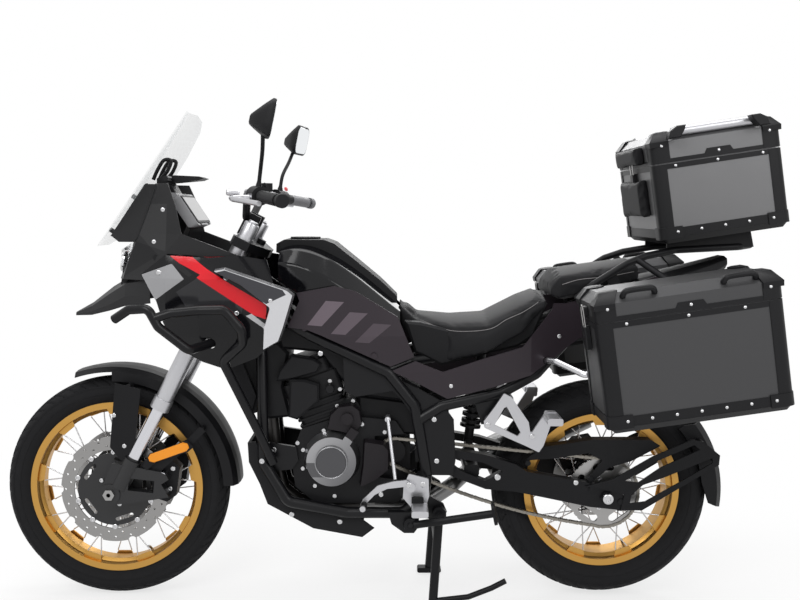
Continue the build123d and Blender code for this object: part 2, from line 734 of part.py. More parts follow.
with BuildPart() as engine_covers:
    # left: generator cover with a raised boss and rib, idler cover, chain cover
    left_face = -engine_half - seat_gap
    with BuildSketch(sidePlane(left_face)):
        with Locations((-143, 434)):
            Circle(82)
    extrude(amount=44, taper=14)
    with BuildSketch(sidePlane(left_face - 44)):
        with Locations((-143, 434)):
            Circle(44)
    extrude(amount=10, taper=12)
    with BuildSketch(sidePlane(left_face - 20)):
        with Locations((-96, 496)):
            Rectangle(26, 74, rotation=-34)
    extrude(amount=24)
    with BuildSketch(sidePlane(left_face)):
        with BuildLine():
            Polyline(
                (-158, 522), (-148, 566), (-124, 590), (-84, 596), (-62, 580), (-54, 536), (-84, 506), (-112, 514),
                close=True,
            )
        make_face()
        fillet(vertices(), 9)
    extrude(amount=22, taper=8)
    with BuildSketch(sidePlane(left_face - 22)):
        with Locations((-98, 556)):
            Circle(17)
    extrude(amount=12)
    with BuildSketch(sidePlane(left_face)):
        with BuildLine():
            Polyline((-52, 494), (8, 485), (24, 466), (24, 404), (-14, 374), (-66, 348), (-56, 420), close=True)
        make_face()
        fillet(vertices(), 8)
    extrude(amount=30, taper=10)
    # right: clutch cover, water pump and the generator side
    right_face = engine_half + seat_gap
    for x, z, radius, start, depth in (
        (-60, 420, 94, right_face, 40), (-60, 420, 66, right_face + 40, 12), (-190, 420, 44, right_face, 26),
        (-190, 420, 26, right_face + 26, 14), (-130, 520, 34, right_face, 18),
    ):
        with BuildSketch(sidePlane(start)):
            with Locations((x, z)):
                Circle(radius)
        extrude(amount=-depth, taper=8)
engine_covers.part.label = "engine_covers"
export_step(engine_covers.part, "parts/engine_covers.step")

radiator_half = 108.0
with BuildPart() as radiator:
    with BuildSketch(sidePlane(-radiator_half)):
        with BuildLine():
            Polyline((-449, 738), (-416, 748), (-346, 574), (-382, 560), close=True)
        make_face()
    extrude(amount=-2 * radiator_half)
    # end tanks and the shroud lip round the core
    for y in (-radiator_half - 10, radiator_half - 8):
        with BuildSketch(sidePlane(y + 18)):
            with BuildLine():
                Polyline((-453, 744), (-414, 754), (-360, 618), (-378, 556), (-390, 556), close=True)
            make_face()
        extrude(amount=18)
    # core fins
    for k in range(17):
        t = (k + 1) / 18
        with BuildSketch(sidePlane(-radiator_half + 14)):
            with Locations((-451 + 66 * t + 0.5, 735 - 172 * t)):
                Rectangle(9, 4, rotation=-20, mode=Mode.ADD)
        extrude(amount=-2 * radiator_half + 28, mode=Mode.SUBTRACT)
    # straps back to the down tubes
    for y in (-106, 92):
        with BuildSketch(sidePlane(y + 14)):
            with BuildLine():
                Polyline((-424, 742), (-350, 742), (-350, 728), (-418, 728), close=True)
            make_face()
        extrude(amount=14)
    add(main_frame.part, mode=Mode.SUBTRACT)
radiator.part.label = "radiator"
export_step(radiator.part, "parts/radiator.step")

with BuildPart() as exhaust:
    for points, radius in (
        (
            (
                (-292, 42, 640), (-326, 46, 572), (-312, 50, 420), (-292, 51, 330), (-250, 52, 294),
                (-180, 56, 264), (-120, 62, 259), (-20, 74, 246),
            ),
            19,
        ),
        (
            (
                (-292, -42, 640), (-326, -46, 572), (-312, -46, 420), (-292, -44, 330), (-250, -38, 294),
                (-180, -10, 264), (-110, 30, 258), (-30, 66, 248),
            ),
            19,
        ),
        (((-60, 72, 248), (60, 78, 238), (130, 80, 246), (215, 90, 300), (262, 134, 330), (306, 208, 345), (330, 218, 356)), 24),
    ):
        with BuildLine() as run:
            FilletPolyline(*points, radius=26)
        with BuildSketch(Plane(origin=run.line @ 0, z_dir=run.line % 0)):
            Circle(radius)
        sweep(path=run.line)
    muffler = Plane(origin=(322, 216, 352), x_dir=(0, 1, 0), z_dir=(0.9, 0.05, 0.43))
    with BuildSketch(muffler):
        RectangleRounded(92, 112, 36)
    extrude(amount=360)
    with BuildSketch(muffler.offset(360)):
        RectangleRounded(74, 92, 28)
        Circle(22, mode=Mode.SUBTRACT)
    extrude(amount=30)
    add(engine.part, mode=Mode.SUBTRACT)
exhaust.part.label = "exhaust"
export_step(exhaust.part, "parts/exhaust.step")

# ---------------------------------------------------------------- tank, panels and seat


def archFace(x, rows, r):
    # section across the bike from (half width, height) rows, bottom row first, rounded corners
    right = [(w, z) for w, z in rows]
    left = [(-w, z) for w, z in reversed(rows)]
    with BuildSketch(crossPlane(x)) as face:
        with BuildLine():
            Polyline(*right, *left, close=True)
        make_face()
        fillet(face.vertices(), r)
    return face.sketch


def bandSkin(rows, t):
    # upright skin on the left: each row is a height and the (x, half width) curve there
    with BuildPart() as skin:
        for z, curve in rows:
            with BuildSketch(Plane.XY.offset(z)):
                with BuildLine():
                    Polyline(*[(x, -w) for x, w in curve], *[(x, -w + t) for x, w in reversed(curve)], close=True)
                make_face()
        loft(ruled=True)
    return skin.part


def sideCut(outline):
    # prism of an outline in side view, on the left of the bike
    with BuildPart() as cut:
        with BuildSketch(sidePlane(-300)):
            with BuildLine():
                Polyline(*outline, close=True)
            make_face()
        extrude(amount=-260)
    return cut.part


with BuildPart() as fuel_tank:
    loft(
        [
            archFace(-290, ((100, 905), (150, 950), (158, 1000), (120, 1032), (66, 1048)), 14),
            archFace(-205, ((108, 852), (172, 905), (180, 985), (140, 1036), (74, 1054)), 20),
            archFace(-80, ((108, 806), (170, 868), (172, 918), (128, 968), (64, 992)), 20),
            archFace(52, ((92, 792), (128, 808), (132, 834), (104, 862), (58, 876)), 10),
        ]
    )
    with BuildSketch(crossPlane(-340)):
        with Locations((0, 800)):
            Rectangle(130, 240)
    extrude(amount=400, mode=Mode.SUBTRACT)
    add(main_frame.part, mode=Mode.SUBTRACT)
fuel_tank.part.label = "fuel_tank"
export_step(fuel_tank.part, "parts/fuel_tank.step")

# textured cover over the top of the tank, with a filler cap
with BuildPart() as tank_cover:
    with BuildSketch(sidePlane(-96)):
        with BuildLine():
            Polyline(
                (-303, 1030), (-302, 1054), (-280, 1066), (-166, 1066), (-138, 1056), (-70, 1002), (-6, 950), (44, 902),
                (44, 864), (-70, 960), (-200, 1020), (-290, 1026), close=True,
            )
        make_face()
        fillet(vertices().sort_by(Axis.Z)[-4:], 8)
    extrude(amount=-192)
    with BuildSketch(Plane.XY.offset(820)):
        with BuildLine():
            Polyline(
                (-324, -78), (-290, -96), (-150, -96), (44, -60), (44, 60), (-150, 96), (-290, 96), (-324, 78),
                close=True,
            )
        make_face()
    extrude(amount=280, mode=Mode.INTERSECT)
    with BuildSketch(Plane.XY.offset(1064)):
        with Locations((-226, 0)):
            Circle(44)
    extrude(amount=8)
    add(fuel_tank.part, mode=Mode.SUBTRACT)
tank_cover.part.label = "tank_cover"
export_step(tank_cover.part, "parts/tank_cover.step")

tank_panel_outline = (
    (-262, 824), (-228, 899), (-236, 921), (-131, 941), (-72, 925), (46, 853), (92, 740), (26, 713), (-165, 802),
    (-209, 819),
)
with BuildPart() as tank_panels:
    add(
        bandSkin(
            (
                (690, ((-270, 170), (-150, 176), (0, 172), (100, 164))),
                (800, ((-270, 184), (-150, 194), (0, 184), (100, 172))),
                (945, ((-270, 186), (-150, 192), (0, 164), (100, 146))),
            ),
            14,
        )
    )
    add(sideCut(tank_panel_outline), mode=Mode.INTERSECT)
    add(fuel_tank.part, mode=Mode.SUBTRACT)
    # rubber-seated pegs back to the main rails
    for x, z in ((-214, 822), (-20, 745)):
        with BuildSketch(sidePlane(-185)):
            with Locations((x, z)):
                Circle(8)
        extrude(amount=-30)
    add(main_frame.part, mode=Mode.SUBTRACT)
    mirror(about=Plane.XZ)
tank_panels.part.label = "tank_panels"
export_step(tank_panels.part, "parts/tank_panels.step")

crash_d = 25.4
crash_runs = (
    (
        (-437, -150, 790), (-513, -300, 775), (-590, -318, 841), (-616, -318, 889), (-672, -300, 884), (-716, -280, 856),
    ),
    (
        (-600, -318, 862), (-560, -312, 876), (-488, -300, 883), (-418, -296, 884), (-374, -290, 831),
        (-374, -262, 790), (-437, -215, 732), (-347, -172, 527), (-308, -148, 430),
    ),
)
with BuildPart() as crash_room:
    for points in crash_runs:
        with BuildLine() as run:
            FilletPolyline(*points, radius=22)
        with BuildSketch(Plane(origin=run.line @ 0, z_dir=run.line % 0)):
            Circle(crash_d / 2 + 2)
        sweep(path=run.line)

shroud_outline = (
    (-676, 968), (-602, 1024), (-480, 1018), (-394, 1024), (-318, 1012), (-300, 960), (-290, 930), (-318, 860),
    (-318, 766), (-345, 742), (-429, 709), (-493, 730), (-566, 767), (-608, 836), (-628, 895),
)
shroud_face = 222.0
with BuildPart() as shrouds:
    add(
        bandSkin(
            (
                (690, ((-690, 112), (-600, 168), (-500, 200), (-400, 208), (-280, 200))),
                (800, ((-690, 132), (-600, 186), (-500, shroud_face), (-400, shroud_face), (-280, 216))),
                (960, ((-690, 148), (-600, 190), (-500, shroud_face), (-400, shroud_face), (-280, 210))),
                (1040, ((-690, 146), (-600, 168), (-500, 182), (-400, 178), (-280, 166))),
            ),
            6,
        )
    )
    add(sideCut(shroud_outline), mode=Mode.INTERSECT)
    add(crash_room.part, mode=Mode.SUBTRACT)
    # stay in to the frame rail
    with BuildSketch(sidePlane(-212)):
        with Locations((-330, 926)):
            Circle(9)
    extrude(amount=-150)
    add(fuel_tank.part, mode=Mode.SUBTRACT)
    add(main_frame.part, mode=Mode.SUBTRACT)
    mirror(about=Plane.XZ)
shrouds.part.label = "shrouds"
export_step(shrouds.part, "parts/shrouds.step")

wing_outline = (
    (-466, 987), (-426, 994), (-254, 936), (-236, 921), (-264, 828), (-277, 792), (-325, 764), (-322, 828),
    (-306, 884), (-384, 945),
)
wing_depth = 26.0
with BuildPart() as wings:
    with BuildSketch(sidePlane(-shroud_face - 4)):
        with BuildLine():
            Polyline(*wing_outline, close=True)
        make_face()
        fillet(vertices(), 5)
    extrude(amount=wing_depth, taper=9)
    with BuildSketch(sidePlane(-shroud_face - 4)):
        with BuildLine():
            Polyline(*wing_outline, close=True)
        make_face()
        offset(amount=-7)
    extrude(amount=wing_depth - 9, taper=9, mode=Mode.SUBTRACT)
    # foot down to the shroud and the tank
    for x, z in ((-420, 968), (-330, 930), (-312, 830)):
        with BuildSketch(sidePlane(-shroud_face - wing_depth + 2)):
            with Locations((x, z)):
                Circle(8)
        extrude(amount=-48)
    add(fuel_tank.part, mode=Mode.SUBTRACT)
    add(shrouds.part, mode=Mode.SUBTRACT)
    mirror(about=Plane.XZ)
wings.part.label = "wings"
export_step(wings.part, "parts/wings.step")

# Screen: a bowed sheet raked back, its shape shared with the dark carrier behind it
screen_foot = (-838.0, 1034.0)
screen_rake = 55.6
screen_bow = 38.7
screen_up = (cos(radians(screen_rake)), 0, sin(radians(screen_rake)))


def screenPlane(back, up=0.0):
    # square to the screen's slope: x runs across, y runs back and down from the sheet
    c = cos(radians(screen_rake))
    s = sin(radians(screen_rake))
    origin = (screen_foot[0] + s * back + c * up, 0, screen_foot[1] - c * back + s * up)
    return Plane(origin=origin, x_dir=(0, 1, 0), z_dir=(-c, 0, -s))


def bowFace(back, t, half):
    # sheet section bowed round the rider, thickness t
    drop = screen_bow * (half / 150.0) ** 2
    with BuildSketch(screenPlane(back)) as face:
        with BuildLine():
            ThreePointArc((-half, drop), (0, 0), (half, drop))
            Line((half, drop), (half, drop + t))
            ThreePointArc((half, drop + t), (0, t), (-half, drop + t))
            Line((-half, drop + t), (-half, drop))
        make_face()
    return face.sketch


screen_posts = ((-88, 84), (88, 84), (-88, 200), (88, 200))


def screenPost(y, up, bow):
    # plane on the back face of the sheet, facing away from it
    c = cos(radians(screen_rake))
    s = sin(radians(screen_rake))
    back = 4 + seat_gap + bow
    origin = (screen_foot[0] + s * back + c * up, y, screen_foot[1] - c * back + s * up)
    return Plane(origin=origin, x_dir=(0, 1, 0), z_dir=(s, 0, -c))


with BuildPart() as carrier_form:
    add(bowFace(16, 4, 104))
    extrude(amount=470, dir=screen_up)
    with BuildSketch(Plane.XY.offset(1074)):
        with Locations((-700, 0)):
            Rectangle(400, 240)
    extrude(amount=150, mode=Mode.INTERSECT)
carrier = carrier_form.part

# Nose: side walls wrap round from the headlight to the rear edge, open behind
nose_rows = (
    (952, -741, 96, -664, 150),
    (1020, -716, 104, -602, 165),
    (1083, -686, 111, -556, 172),
    (1163, -653, 116, -573, 166),
    (1224, -631, 118, -597, 150),
)
with BuildPart() as nose_fairing:
    for z, front, front_w, rear, rear_w in nose_rows:
        with BuildSketch(Plane.XY.offset(z)):
            with BuildLine():
                Polyline(
                    (rear, -rear_w), (front, -front_w), (front - 14, -front_w + 30), (front - 14, front_w - 30),
                    (front, front_w), (rear, rear_w), close=True,
                )
            make_face()
    loft(ruled=True)
    for z, front, front_w, rear, rear_w in nose_rows:
        # the hollow: its end rows reach past the skin
        level = z - 6 if z == nose_rows[0][0] else z + 6 if z == nose_rows[-1][0] else z
        with BuildSketch(Plane.XY.offset(level)):
            with BuildLine():
                Polyline(
                    (rear + 40, -rear_w - 8), (rear + 1, -rear_w + 5), (front + 4, -front_w + 5),
                    (front - 9, -front_w + 34), (front - 9, front_w - 34), (front + 4, front_w - 5),
                    (rear + 1, rear_w - 5), (rear + 40, rear_w + 8), close=True,
                )
            make_face()
    loft(ruled=True, mode=Mode.SUBTRACT)
    # opening for the lamp
    with BuildSketch(crossPlane(-800)):
        with BuildLine():
            Polyline((-84, 970), (-92, 1040), (-60, 1064), (60, 1064), (92, 1040), (84, 970), (40, 958), (-40, 958), close=True)
        make_face()
    extrude(amount=100, mode=Mode.SUBTRACT)
    # gloss wing of the fairing that runs back under the bars
    with BuildSketch(sidePlane(-171)):
        with BuildLine():
            Polyline((-600, 1028), (-556, 1083), (-395, 1022), (-480, 1020), close=True)
        make_face()
    extrude(amount=-6)
    with BuildSketch(sidePlane(171)):
        with BuildLine():
            Polyline((-600, 1028), (-556, 1083), (-395, 1022), (-480, 1020), close=True)
        make_face()
    extrude(amount=6)
    # beak: a shell open underneath
    loft(
        [
            archFace(-904, ((11, 838), (12, 841), (10, 846), (6, 848)), 0.9),
            archFace(-850, ((40, 842), (42, 852), (34, 868), (14, 878)), 3),
            archFace(-787, ((74, 858), (76, 876), (62, 908), (24, 926)), 4),
            archFace(-735, ((100, 874), (104, 902), (92, 938), (34, 956)), 4),
            archFace(-652, ((140, 884), (148, 912), (140, 958), (60, 972)), 4),
        ],
        ruled=True,
    )
    loft(
        [
            archFace(-890, ((8, 830), (9, 836), (8, 841), (4, 843)), 0.7),
            archFace(-850, ((37, 830), (39, 852), (31, 865), (12, 874)), 3),
            archFace(-787, ((71, 840), (73, 876), (59, 905), (22, 922)), 4),
            archFace(-735, ((97, 850), (101, 902), (89, 934), (32, 952)), 4),
            archFace(-651, ((137, 860), (145, 912), (137, 954), (58, 968)), 4),
        ],
        ruled=True,
        mode=Mode.SUBTRACT,
    )
    # webs that tie the beak to the lamp housing walls
    for y in (-60, 56):
        with BuildSketch(sidePlane(y + 4)):
            with BuildLine():
                Polyline((-760, 912), (-700, 912), (-672, 956), (-672, 990), (-748, 990), (-753, 958), close=True)
            make_face()
        extrude(amount=4)
    # dark carrier behind the screen, with four screen posts
    add(carrier)
    for y, up in screen_posts:
        bow = screen_bow * (y / 150.0) ** 2
        with BuildSketch(screenPost(y, up, bow)):
            Circle(7)
        extrude(amount=16)
    for side in (-1, 1):
        with BuildSketch(sidePlane(side * 102 + 2)):
            with BuildLine():
                Polyline((-770, 1076), (-672, 1222), (-632, 1222), (-655, 1163), (-687, 1082), (-704, 1058), (-748, 1058), close=True)
            make_face()
        extrude(amount=4)
    add(main_frame.part, mode=Mode.SUBTRACT)
nose_fairing.part.label = "nose_fairing"
export_step(nose_fairing.part, "parts/nose_fairing.step")

with BuildPart() as headlight:
    with BuildSketch(crossPlane(-752)):
        with BuildLine():
            Polyline((-78, 976), (-86, 1036), (-56, 1056), (56, 1056), (86, 1036), (78, 976), (38, 966), (-38, 966), close=True)
        make_face()
        fillet(vertices(), 6)
    extrude(amount=70)
    with BuildSketch(sidePlane(-100)):
        with BuildLine():
            Polyline((-760, 955), (-751, 992), (-745, 1036), (-714, 1062), (-740, 1072), (-780, 1072), (-780, 955), close=True)
        make_face()
    extrude(amount=-200, mode=Mode.SUBTRACT)
    add(nose_fairing.part, mode=Mode.SUBTRACT)
headlight.part.label = "headlight"
export_step(headlight.part, "parts/headlight.step")

with BuildPart() as windscreen:
    add(bowFace(0, 4, 152))
    extrude(amount=500, dir=screen_up)
    with BuildSketch(crossPlane(-900)):
        with BuildLine():
            Polyline(
                (-52, 1044), (-92, 1062), (-132, 1112), (-146, 1160), (-150, 1216), (-146, 1310), (-132, 1384),
                (-112, 1414), (-70, 1430), (70, 1430), (112, 1414), (132, 1384), (146, 1310), (150, 1216),
                (146, 1160), (132, 1112), (92, 1062), (52, 1044), close=True,
            )
        make_face()
        fillet(vertices(), 9)
    extrude(amount=460, mode=Mode.INTERSECT)
    add(nose_fairing.part, mode=Mode.SUBTRACT)
windscreen.part.label = "windscreen"
export_step(windscreen.part, "parts/windscreen.step")

with BuildPart() as dashboard:
    # display housing facing the rider
    with BuildSketch(Plane(origin=(-550, 0, 1151), x_dir=(0, 1, 0), z_dir=(0.836, 0, 0.548))):
        RectangleRounded(196, 106, 12)
    extrude(amount=-30, taper=10)
    # saddle on the fairing stay
    with BuildSketch(sidePlane(-34)):
        with BuildLine():
            Polyline((-600, 1150), (-566, 1110), (-612, 1006), (-640, 1026), (-626, 1100), close=True)
        make_face()
    extrude(amount=-68)
    # flat hood over the display and the accessory bar
    with BuildSketch(sidePlane(-42)):
        with BuildLine():
            Polyline((-652, 1224), (-652, 1240), (-624, 1248), (-600, 1249), (-530, 1246), (-516, 1241), (-530, 1235), (-606, 1228), close=True)
        make_face()
    extrude(amount=-84)
    with BuildSketch(sidePlane(-42)):
        with BuildLine():
            Polyline((-652, 1232), (-618, 1232), (-586, 1180), (-600, 1150), (-640, 1180), close=True)
        make_face()
    extrude(amount=-84)
    with BuildSketch(sidePlane(-110)):
        with Locations((-612, 1238)):
            Circle(8)
    extrude(amount=-220)
    add(main_frame.part, mode=Mode.SUBTRACT)
    add(nose_fairing.part, mode=Mode.SUBTRACT)
dashboard.part.label = "dashboard"
export_step(dashboard.part, "parts/dashboard.step")

def seatFace(x, half, low, high, edge):
    # seat section: flat underside, slightly crowned top, rolled edges
    with BuildSketch(crossPlane(x)) as face:
        with BuildLine():
            Line((-half, low), (half, low))
            Line((half, low), (half * 0.98, edge))
            ThreePointArc((half * 0.98, edge), (0, high), (-half * 0.98, edge))
            Line((-half * 0.98, edge), (-half, low))
        make_face()
    return face.sketch


with BuildPart() as rider_seat:
    loft(
        [
            seatFace(52, 82, 830, 898, 886),
            seatFace(100, 104, 742, 852, 838),
            seatFace(200, 150, 722, 843, 820),
            seatFace(300, 166, 748, 849, 826),
            seatFace(400, 164, 806, 901, 874),
            seatFace(468, 146, 882, 926, 906),
        ],
        ruled=True,
    )
    # open underneath for the frame rails
    with BuildSketch(sidePlane(-136)):
        with BuildLine():
            Polyline((30, 700), (30, 800), (110, 772), (200, 768), (300, 792), (420, 846), (500, 890), (500, 700), close=True)
        make_face()
    extrude(amount=-272, mode=Mode.SUBTRACT)
    add(fuel_tank.part, mode=Mode.SUBTRACT)
    add(tank_cover.part, mode=Mode.SUBTRACT)
    add(tank_panels.part, mode=Mode.SUBTRACT)
    # rubber feet on the seat rails
    for x, z in ((150, 748), (400, 806)):
        with BuildSketch(Plane.XY.offset(z)):
            with Locations((x, -112), (x, 112)):
                Circle(10)
        extrude(amount=52)
    add(main_frame.part, mode=Mode.SUBTRACT)
rider_seat.part.label = "rider_seat"
export_step(rider_seat.part, "parts/rider_seat.step")

with BuildPart() as passenger_seat:
    loft(
        [
            seatFace(474, 132, 908, 938, 926),
            seatFace(500, 142, 900, 980, 960),
            seatFace(600, 140, 922, 994, 970),
            seatFace(736, 122, 956, 1013, 992),
        ],
        ruled=True,
    )
    add(rider_seat.part, mode=Mode.SUBTRACT)
    for x in (560, 690):
        with BuildSketch(Plane.XY.offset(830)):
            with Locations((x, -98), (x, 98)):
                Circle(9)
        extrude(amount=120)
    add(main_frame.part, mode=Mode.SUBTRACT)
passenger_seat.part.label = "passenger_seat"
export_step(passenger_seat.part, "parts/passenger_seat.step")

rack_d = 18.0
rack_y = pannier_in - rack_d / 2 - seat_gap
rack_runs = (
    # stay from the seat brace, then the loop behind the pannier, and the upper stay
    (
        (470, -128, 724), (462, -205, 738), (482, -232, 738), (548, -rack_y, 712), (930, -rack_y, 762),
        (952, -rack_y, 916), (586, -rack_y, 862), (578, -rack_y, 730),
    ),
    ((716, -154, 1016), (770, -212, 974), (852, -rack_y, 903)),
)
with BuildPart() as rack_room:
    with BuildLine() as run:
        FilletPolyline(*rack_runs[0][:4], radius=18)
    with BuildSketch(Plane(origin=run.line @ 0, z_dir=run.line % 0)):
        Circle(rack_d / 2 + 2)
    sweep(path=run.line)

tail_panel_outline = (
    (28, 700), (108, 664), (186, 622), (322, 658), (420, 690), (540, 780), (660, 856), (800, 930), (786, 968),
    (740, 954), (640, 922), (520, 892), (484, 892), (478, 874), (396, 770), (280, 736), (172, 700), (96, 730),
)
tail_rows = ((22, 168), (120, 184), (260, 186), (420, 176), (560, 150), (700, 130), (820, 112))
with BuildPart() as tail_panels:
    add(bandSkin(tuple((z, tuple((x, w + d) for x, w in tail_rows)) for z, d in ((610, -14), (700, 0), (840, 0), (980, -4))), 6))
    add(sideCut(tail_panel_outline), mode=Mode.INTERSECT)
    # pegs in to the seat rails
    for x, z, inner in ((300, 690, 120), (600, 872, 100)):
        with BuildSketch(sidePlane(-178 if x < 400 else -140)):
            with Locations((x, z)):
                Circle(8)
        extrude(amount=inner - (178 if x < 400 else 140))
    add(main_frame.part, mode=Mode.SUBTRACT)
    add(rider_seat.part, mode=Mode.SUBTRACT)
    add(passenger_seat.part, mode=Mode.SUBTRACT)
    add(tank_panels.part, mode=Mode.SUBTRACT)
    add(rack_room.part, mode=Mode.SUBTRACT)
    mirror(about=Plane.XZ)
tail_panels.part.label = "tail_panels"
export_step(tail_panels.part, "parts/tail_panels.step")

# Tail light housing and number-plate bracket behind the seat
with BuildPart() as tail_unit:
    loft(
        [
            archFace(742, ((100, 868), (108, 900), (104, 946), (60, 956)), 10),
            archFace(860, ((80, 906), (96, 936), (90, 972), (50, 984)), 10),
            archFace(1000, ((44, 986), (62, 1000), (58, 1016), (30, 1022)), 5),
        ]
    )
    # tongues forward to the end tube of the seat rails
    for y in (-60, 80):
        with BuildSketch(sidePlane(y)):
            with BuildLine():
                Polyline((694, 900), (762, 905), (762, 930), (694, 922), close=True)
            make_face()
        extrude(amount=20)
    add(main_frame.part, mode=Mode.SUBTRACT)
    add(tail_panels.part, mode=Mode.SUBTRACT)
    add(passenger_seat.part, mode=Mode.SUBTRACT)
tail_unit.part.label = "tail_unit"
export_step(tail_unit.part, "parts/tail_unit.step")

rack_run = (
    (548, -152, 905), (592, -158, 945), (689, -158, 1006), (744, -146, 1026), (830, -124, 1042), (1010, -124, 1052),
    (1058, -80, 1056), (1058, 0, 1056),
)
with BuildPart() as luggage_rack:
    for side in (1, -1):
        with BuildLine() as run:
            FilletPolyline(*[(x, side * y, z) for x, y, z in rack_run], radius=24)
        with BuildSketch(Plane(origin=run.line @ 0, z_dir=run.line % 0)):
            Circle(10)
        sweep(path=run.line)
        # feet on the seat rail ends
        with BuildSketch(sidePlane(side * 127 + 27)):
            with Locations((672, 905), (640, 968)):
                Circle(9)
        extrude(amount=54)
        with BuildSketch(sidePlane(side * 150 + 4)):
            with BuildLine():
                Polyline((626, 975), (654, 985), (692, 906), (664, 888), close=True)
            make_face()
        extrude(amount=8)
        # raked webs up to the case plate
        with BuildSketch(sidePlane(side * 122 + 3)):
            with BuildLine():
                Polyline((806, 1040), (1052, 1052), (1040, 1107), (806, 1071), close=True)
            make_face()
        extrude(amount=6)
    with BuildSketch(casePlane(top_corner, top_tilt, 0, 0, -12 - seat_gap)):
        with Locations((150, 0)):
            RectangleRounded(270, 262, 24)
        with Locations((80, 0), (220, 0)):
            RectangleRounded(90, 150, 20, mode=Mode.SUBTRACT)
    extrude(amount=12)
    add(passenger_seat.part, mode=Mode.SUBTRACT)
    add(tail_unit.part, mode=Mode.SUBTRACT)
    add(tail_panels.part, mode=Mode.SUBTRACT)
    add(main_frame.part, mode=Mode.SUBTRACT)
luggage_rack.part.label = "luggage_rack"
export_step(luggage_rack.part, "parts/luggage_rack.step")

# ---------------------------------------------------------------- luggage
lid_gap = 1.0


def caseShell(corner, tilt, y0, y1, length, low, high, top_in, open_up):
    # sheet metal shell: floor or roof of wall thickness, walls all round
    mid = (length / 2, (y0 + y1) / 2)
    wide = y1 - y0
    with BuildPart() as shell:
        if top_in:
            with BuildSketch(casePlane(corner, tilt, 0, 0, low)):
                with Locations(mid):
                    RectangleRounded(length, wide, 18)
            with BuildSketch(casePlane(corner, tilt, 0, 0, high - top_in)):
                with Locations(mid):
                    RectangleRounded(length, wide, 18)
            loft()
            with BuildSketch(casePlane(corner, tilt, 0, 0, high - top_in)):
                with Locations(mid):
                    RectangleRounded(length, wide, 18)
            with BuildSketch(casePlane(corner, tilt, 0, 0, high)):
                with Locations(mid):
                    RectangleRounded(length - 2 * top_in, wide - 2 * top_in, 18)
            loft()
            with BuildSketch(casePlane(corner, tilt, 0, 0, low)):
                with Locations(mid):
                    RectangleRounded(length - 2 * case_wall, wide - 2 * case_wall, 16)
            extrude(amount=high - top_in - low, mode=Mode.SUBTRACT)
            with BuildSketch(casePlane(corner, tilt, 0, 0, high - top_in)):
                with Locations(mid):
                    RectangleRounded(length - 2 * case_wall, wide - 2 * case_wall, 16)
            with BuildSketch(casePlane(corner, tilt, 0, 0, high - case_wall)):
                with Locations(mid):
                    RectangleRounded(length - 2 * top_in - 2, wide - 2 * top_in - 2, 16)
            loft(mode=Mode.SUBTRACT)
        else:
            with BuildSketch(casePlane(corner, tilt, 0, 0, low)):
                with Locations(mid):
                    RectangleRounded(length, wide, 18)
            extrude(amount=high - low)
            with BuildSketch(casePlane(corner, tilt, 0, 0, low + case_wall)):
                with Locations(mid):
                    RectangleRounded(length - 2 * case_wall, wide - 2 * case_wall, 16)
            extrude(amount=high - low, mode=Mode.SUBTRACT)
    return shell.part


top_split = 203.0
pannier_split = 262.0
knuckle_r = 5.0
hinge_out = 6.0


def knuckles(corner, tilt, y0, y1, length, split, lid):
    # barrels on the rear edge, every other one on the lid, each with its leaf on the wall
    pitch = (y1 - y0) / 9
    leaf_low = split + lid_gap + 0.6 if lid else split - 18
    axis_at = casePlane(corner, tilt, 0, length + hinge_out, split + lid_gap / 2)
    leaf_at = casePlane(corner, tilt, 0, 0, leaf_low)
    with BuildPart() as row:
        for k in range(1, 8):
            if (k % 2 == 0) == lid:
                low = y0 + pitch * k + pitch / 2 + 0.5
                with BuildSketch(Plane(origin=axis_at.origin + (0, low, 0), x_dir=axis_at.x_dir, z_dir=(0, 1, 0))):
                    Circle(knuckle_r)
                extrude(amount=pitch - 1)
                with BuildSketch(leaf_at):
                    with Locations((length + hinge_out / 4 - 0.5, low + (pitch - 1) / 2)):
                        Rectangle(hinge_out / 2 + 1, pitch - 1)
                extrude(amount=17.4)
    return row.part


top_case = caseShell(top_corner, top_tilt, -top_w / 2, top_w / 2, top_l, 0, top_split, 0, True)
top_case += knuckles(top_corner, top_tilt, -top_w / 2, top_w / 2, top_l, top_split, False)
top_case.label = "top_case"
export_step(top_case, "parts/top_case.step")
top_case_lid = caseShell(top_corner, top_tilt, -top_w / 2, top_w / 2, top_l, top_split + lid_gap, top_h, 22, False)
top_case_lid += knuckles(top_corner, top_tilt, -top_w / 2, top_w / 2, top_l, top_split, True)
top_case_lid.label = "top_case_lid"
export_step(top_case_lid, "parts/top_case_lid.step")

left_pannier = caseShell(pannier_corner, pannier_tilt, -pannier_out, -pannier_in, pannier_l, 0, pannier_split, 0, True)
left_pannier += knuckles(pannier_corner, pannier_tilt, -pannier_out, -pannier_in, pannier_l, pannier_split, False)
left_pannier.label = "left_pannier"
export_step(left_pannier, "parts/left_pannier.step")
left_pannier_lid = caseShell(
    pannier_corner, pannier_tilt, -pannier_out, -pannier_in, pannier_l, pannier_split + lid_gap, pannier_h, 24, False
)
left_pannier_lid += knuckles(pannier_corner, pannier_tilt, -pannier_out, -pannier_in, pannier_l, pannier_split, True)
left_pannier_lid.label = "left_pannier_lid"
export_step(left_pannier_lid, "parts/left_pannier_lid.step")
right_pannier = mirror(left_pannier, about=Plane.XZ)
right_pannier.label = "right_pannier"
export_step(right_pannier, "parts/right_pannier.step")
right_pannier_lid = mirror(left_pannier_lid, about=Plane.XZ)
right_pannier_lid.label = "right_pannier_lid"
export_step(right_pannier_lid, "parts/right_pannier_lid.step")

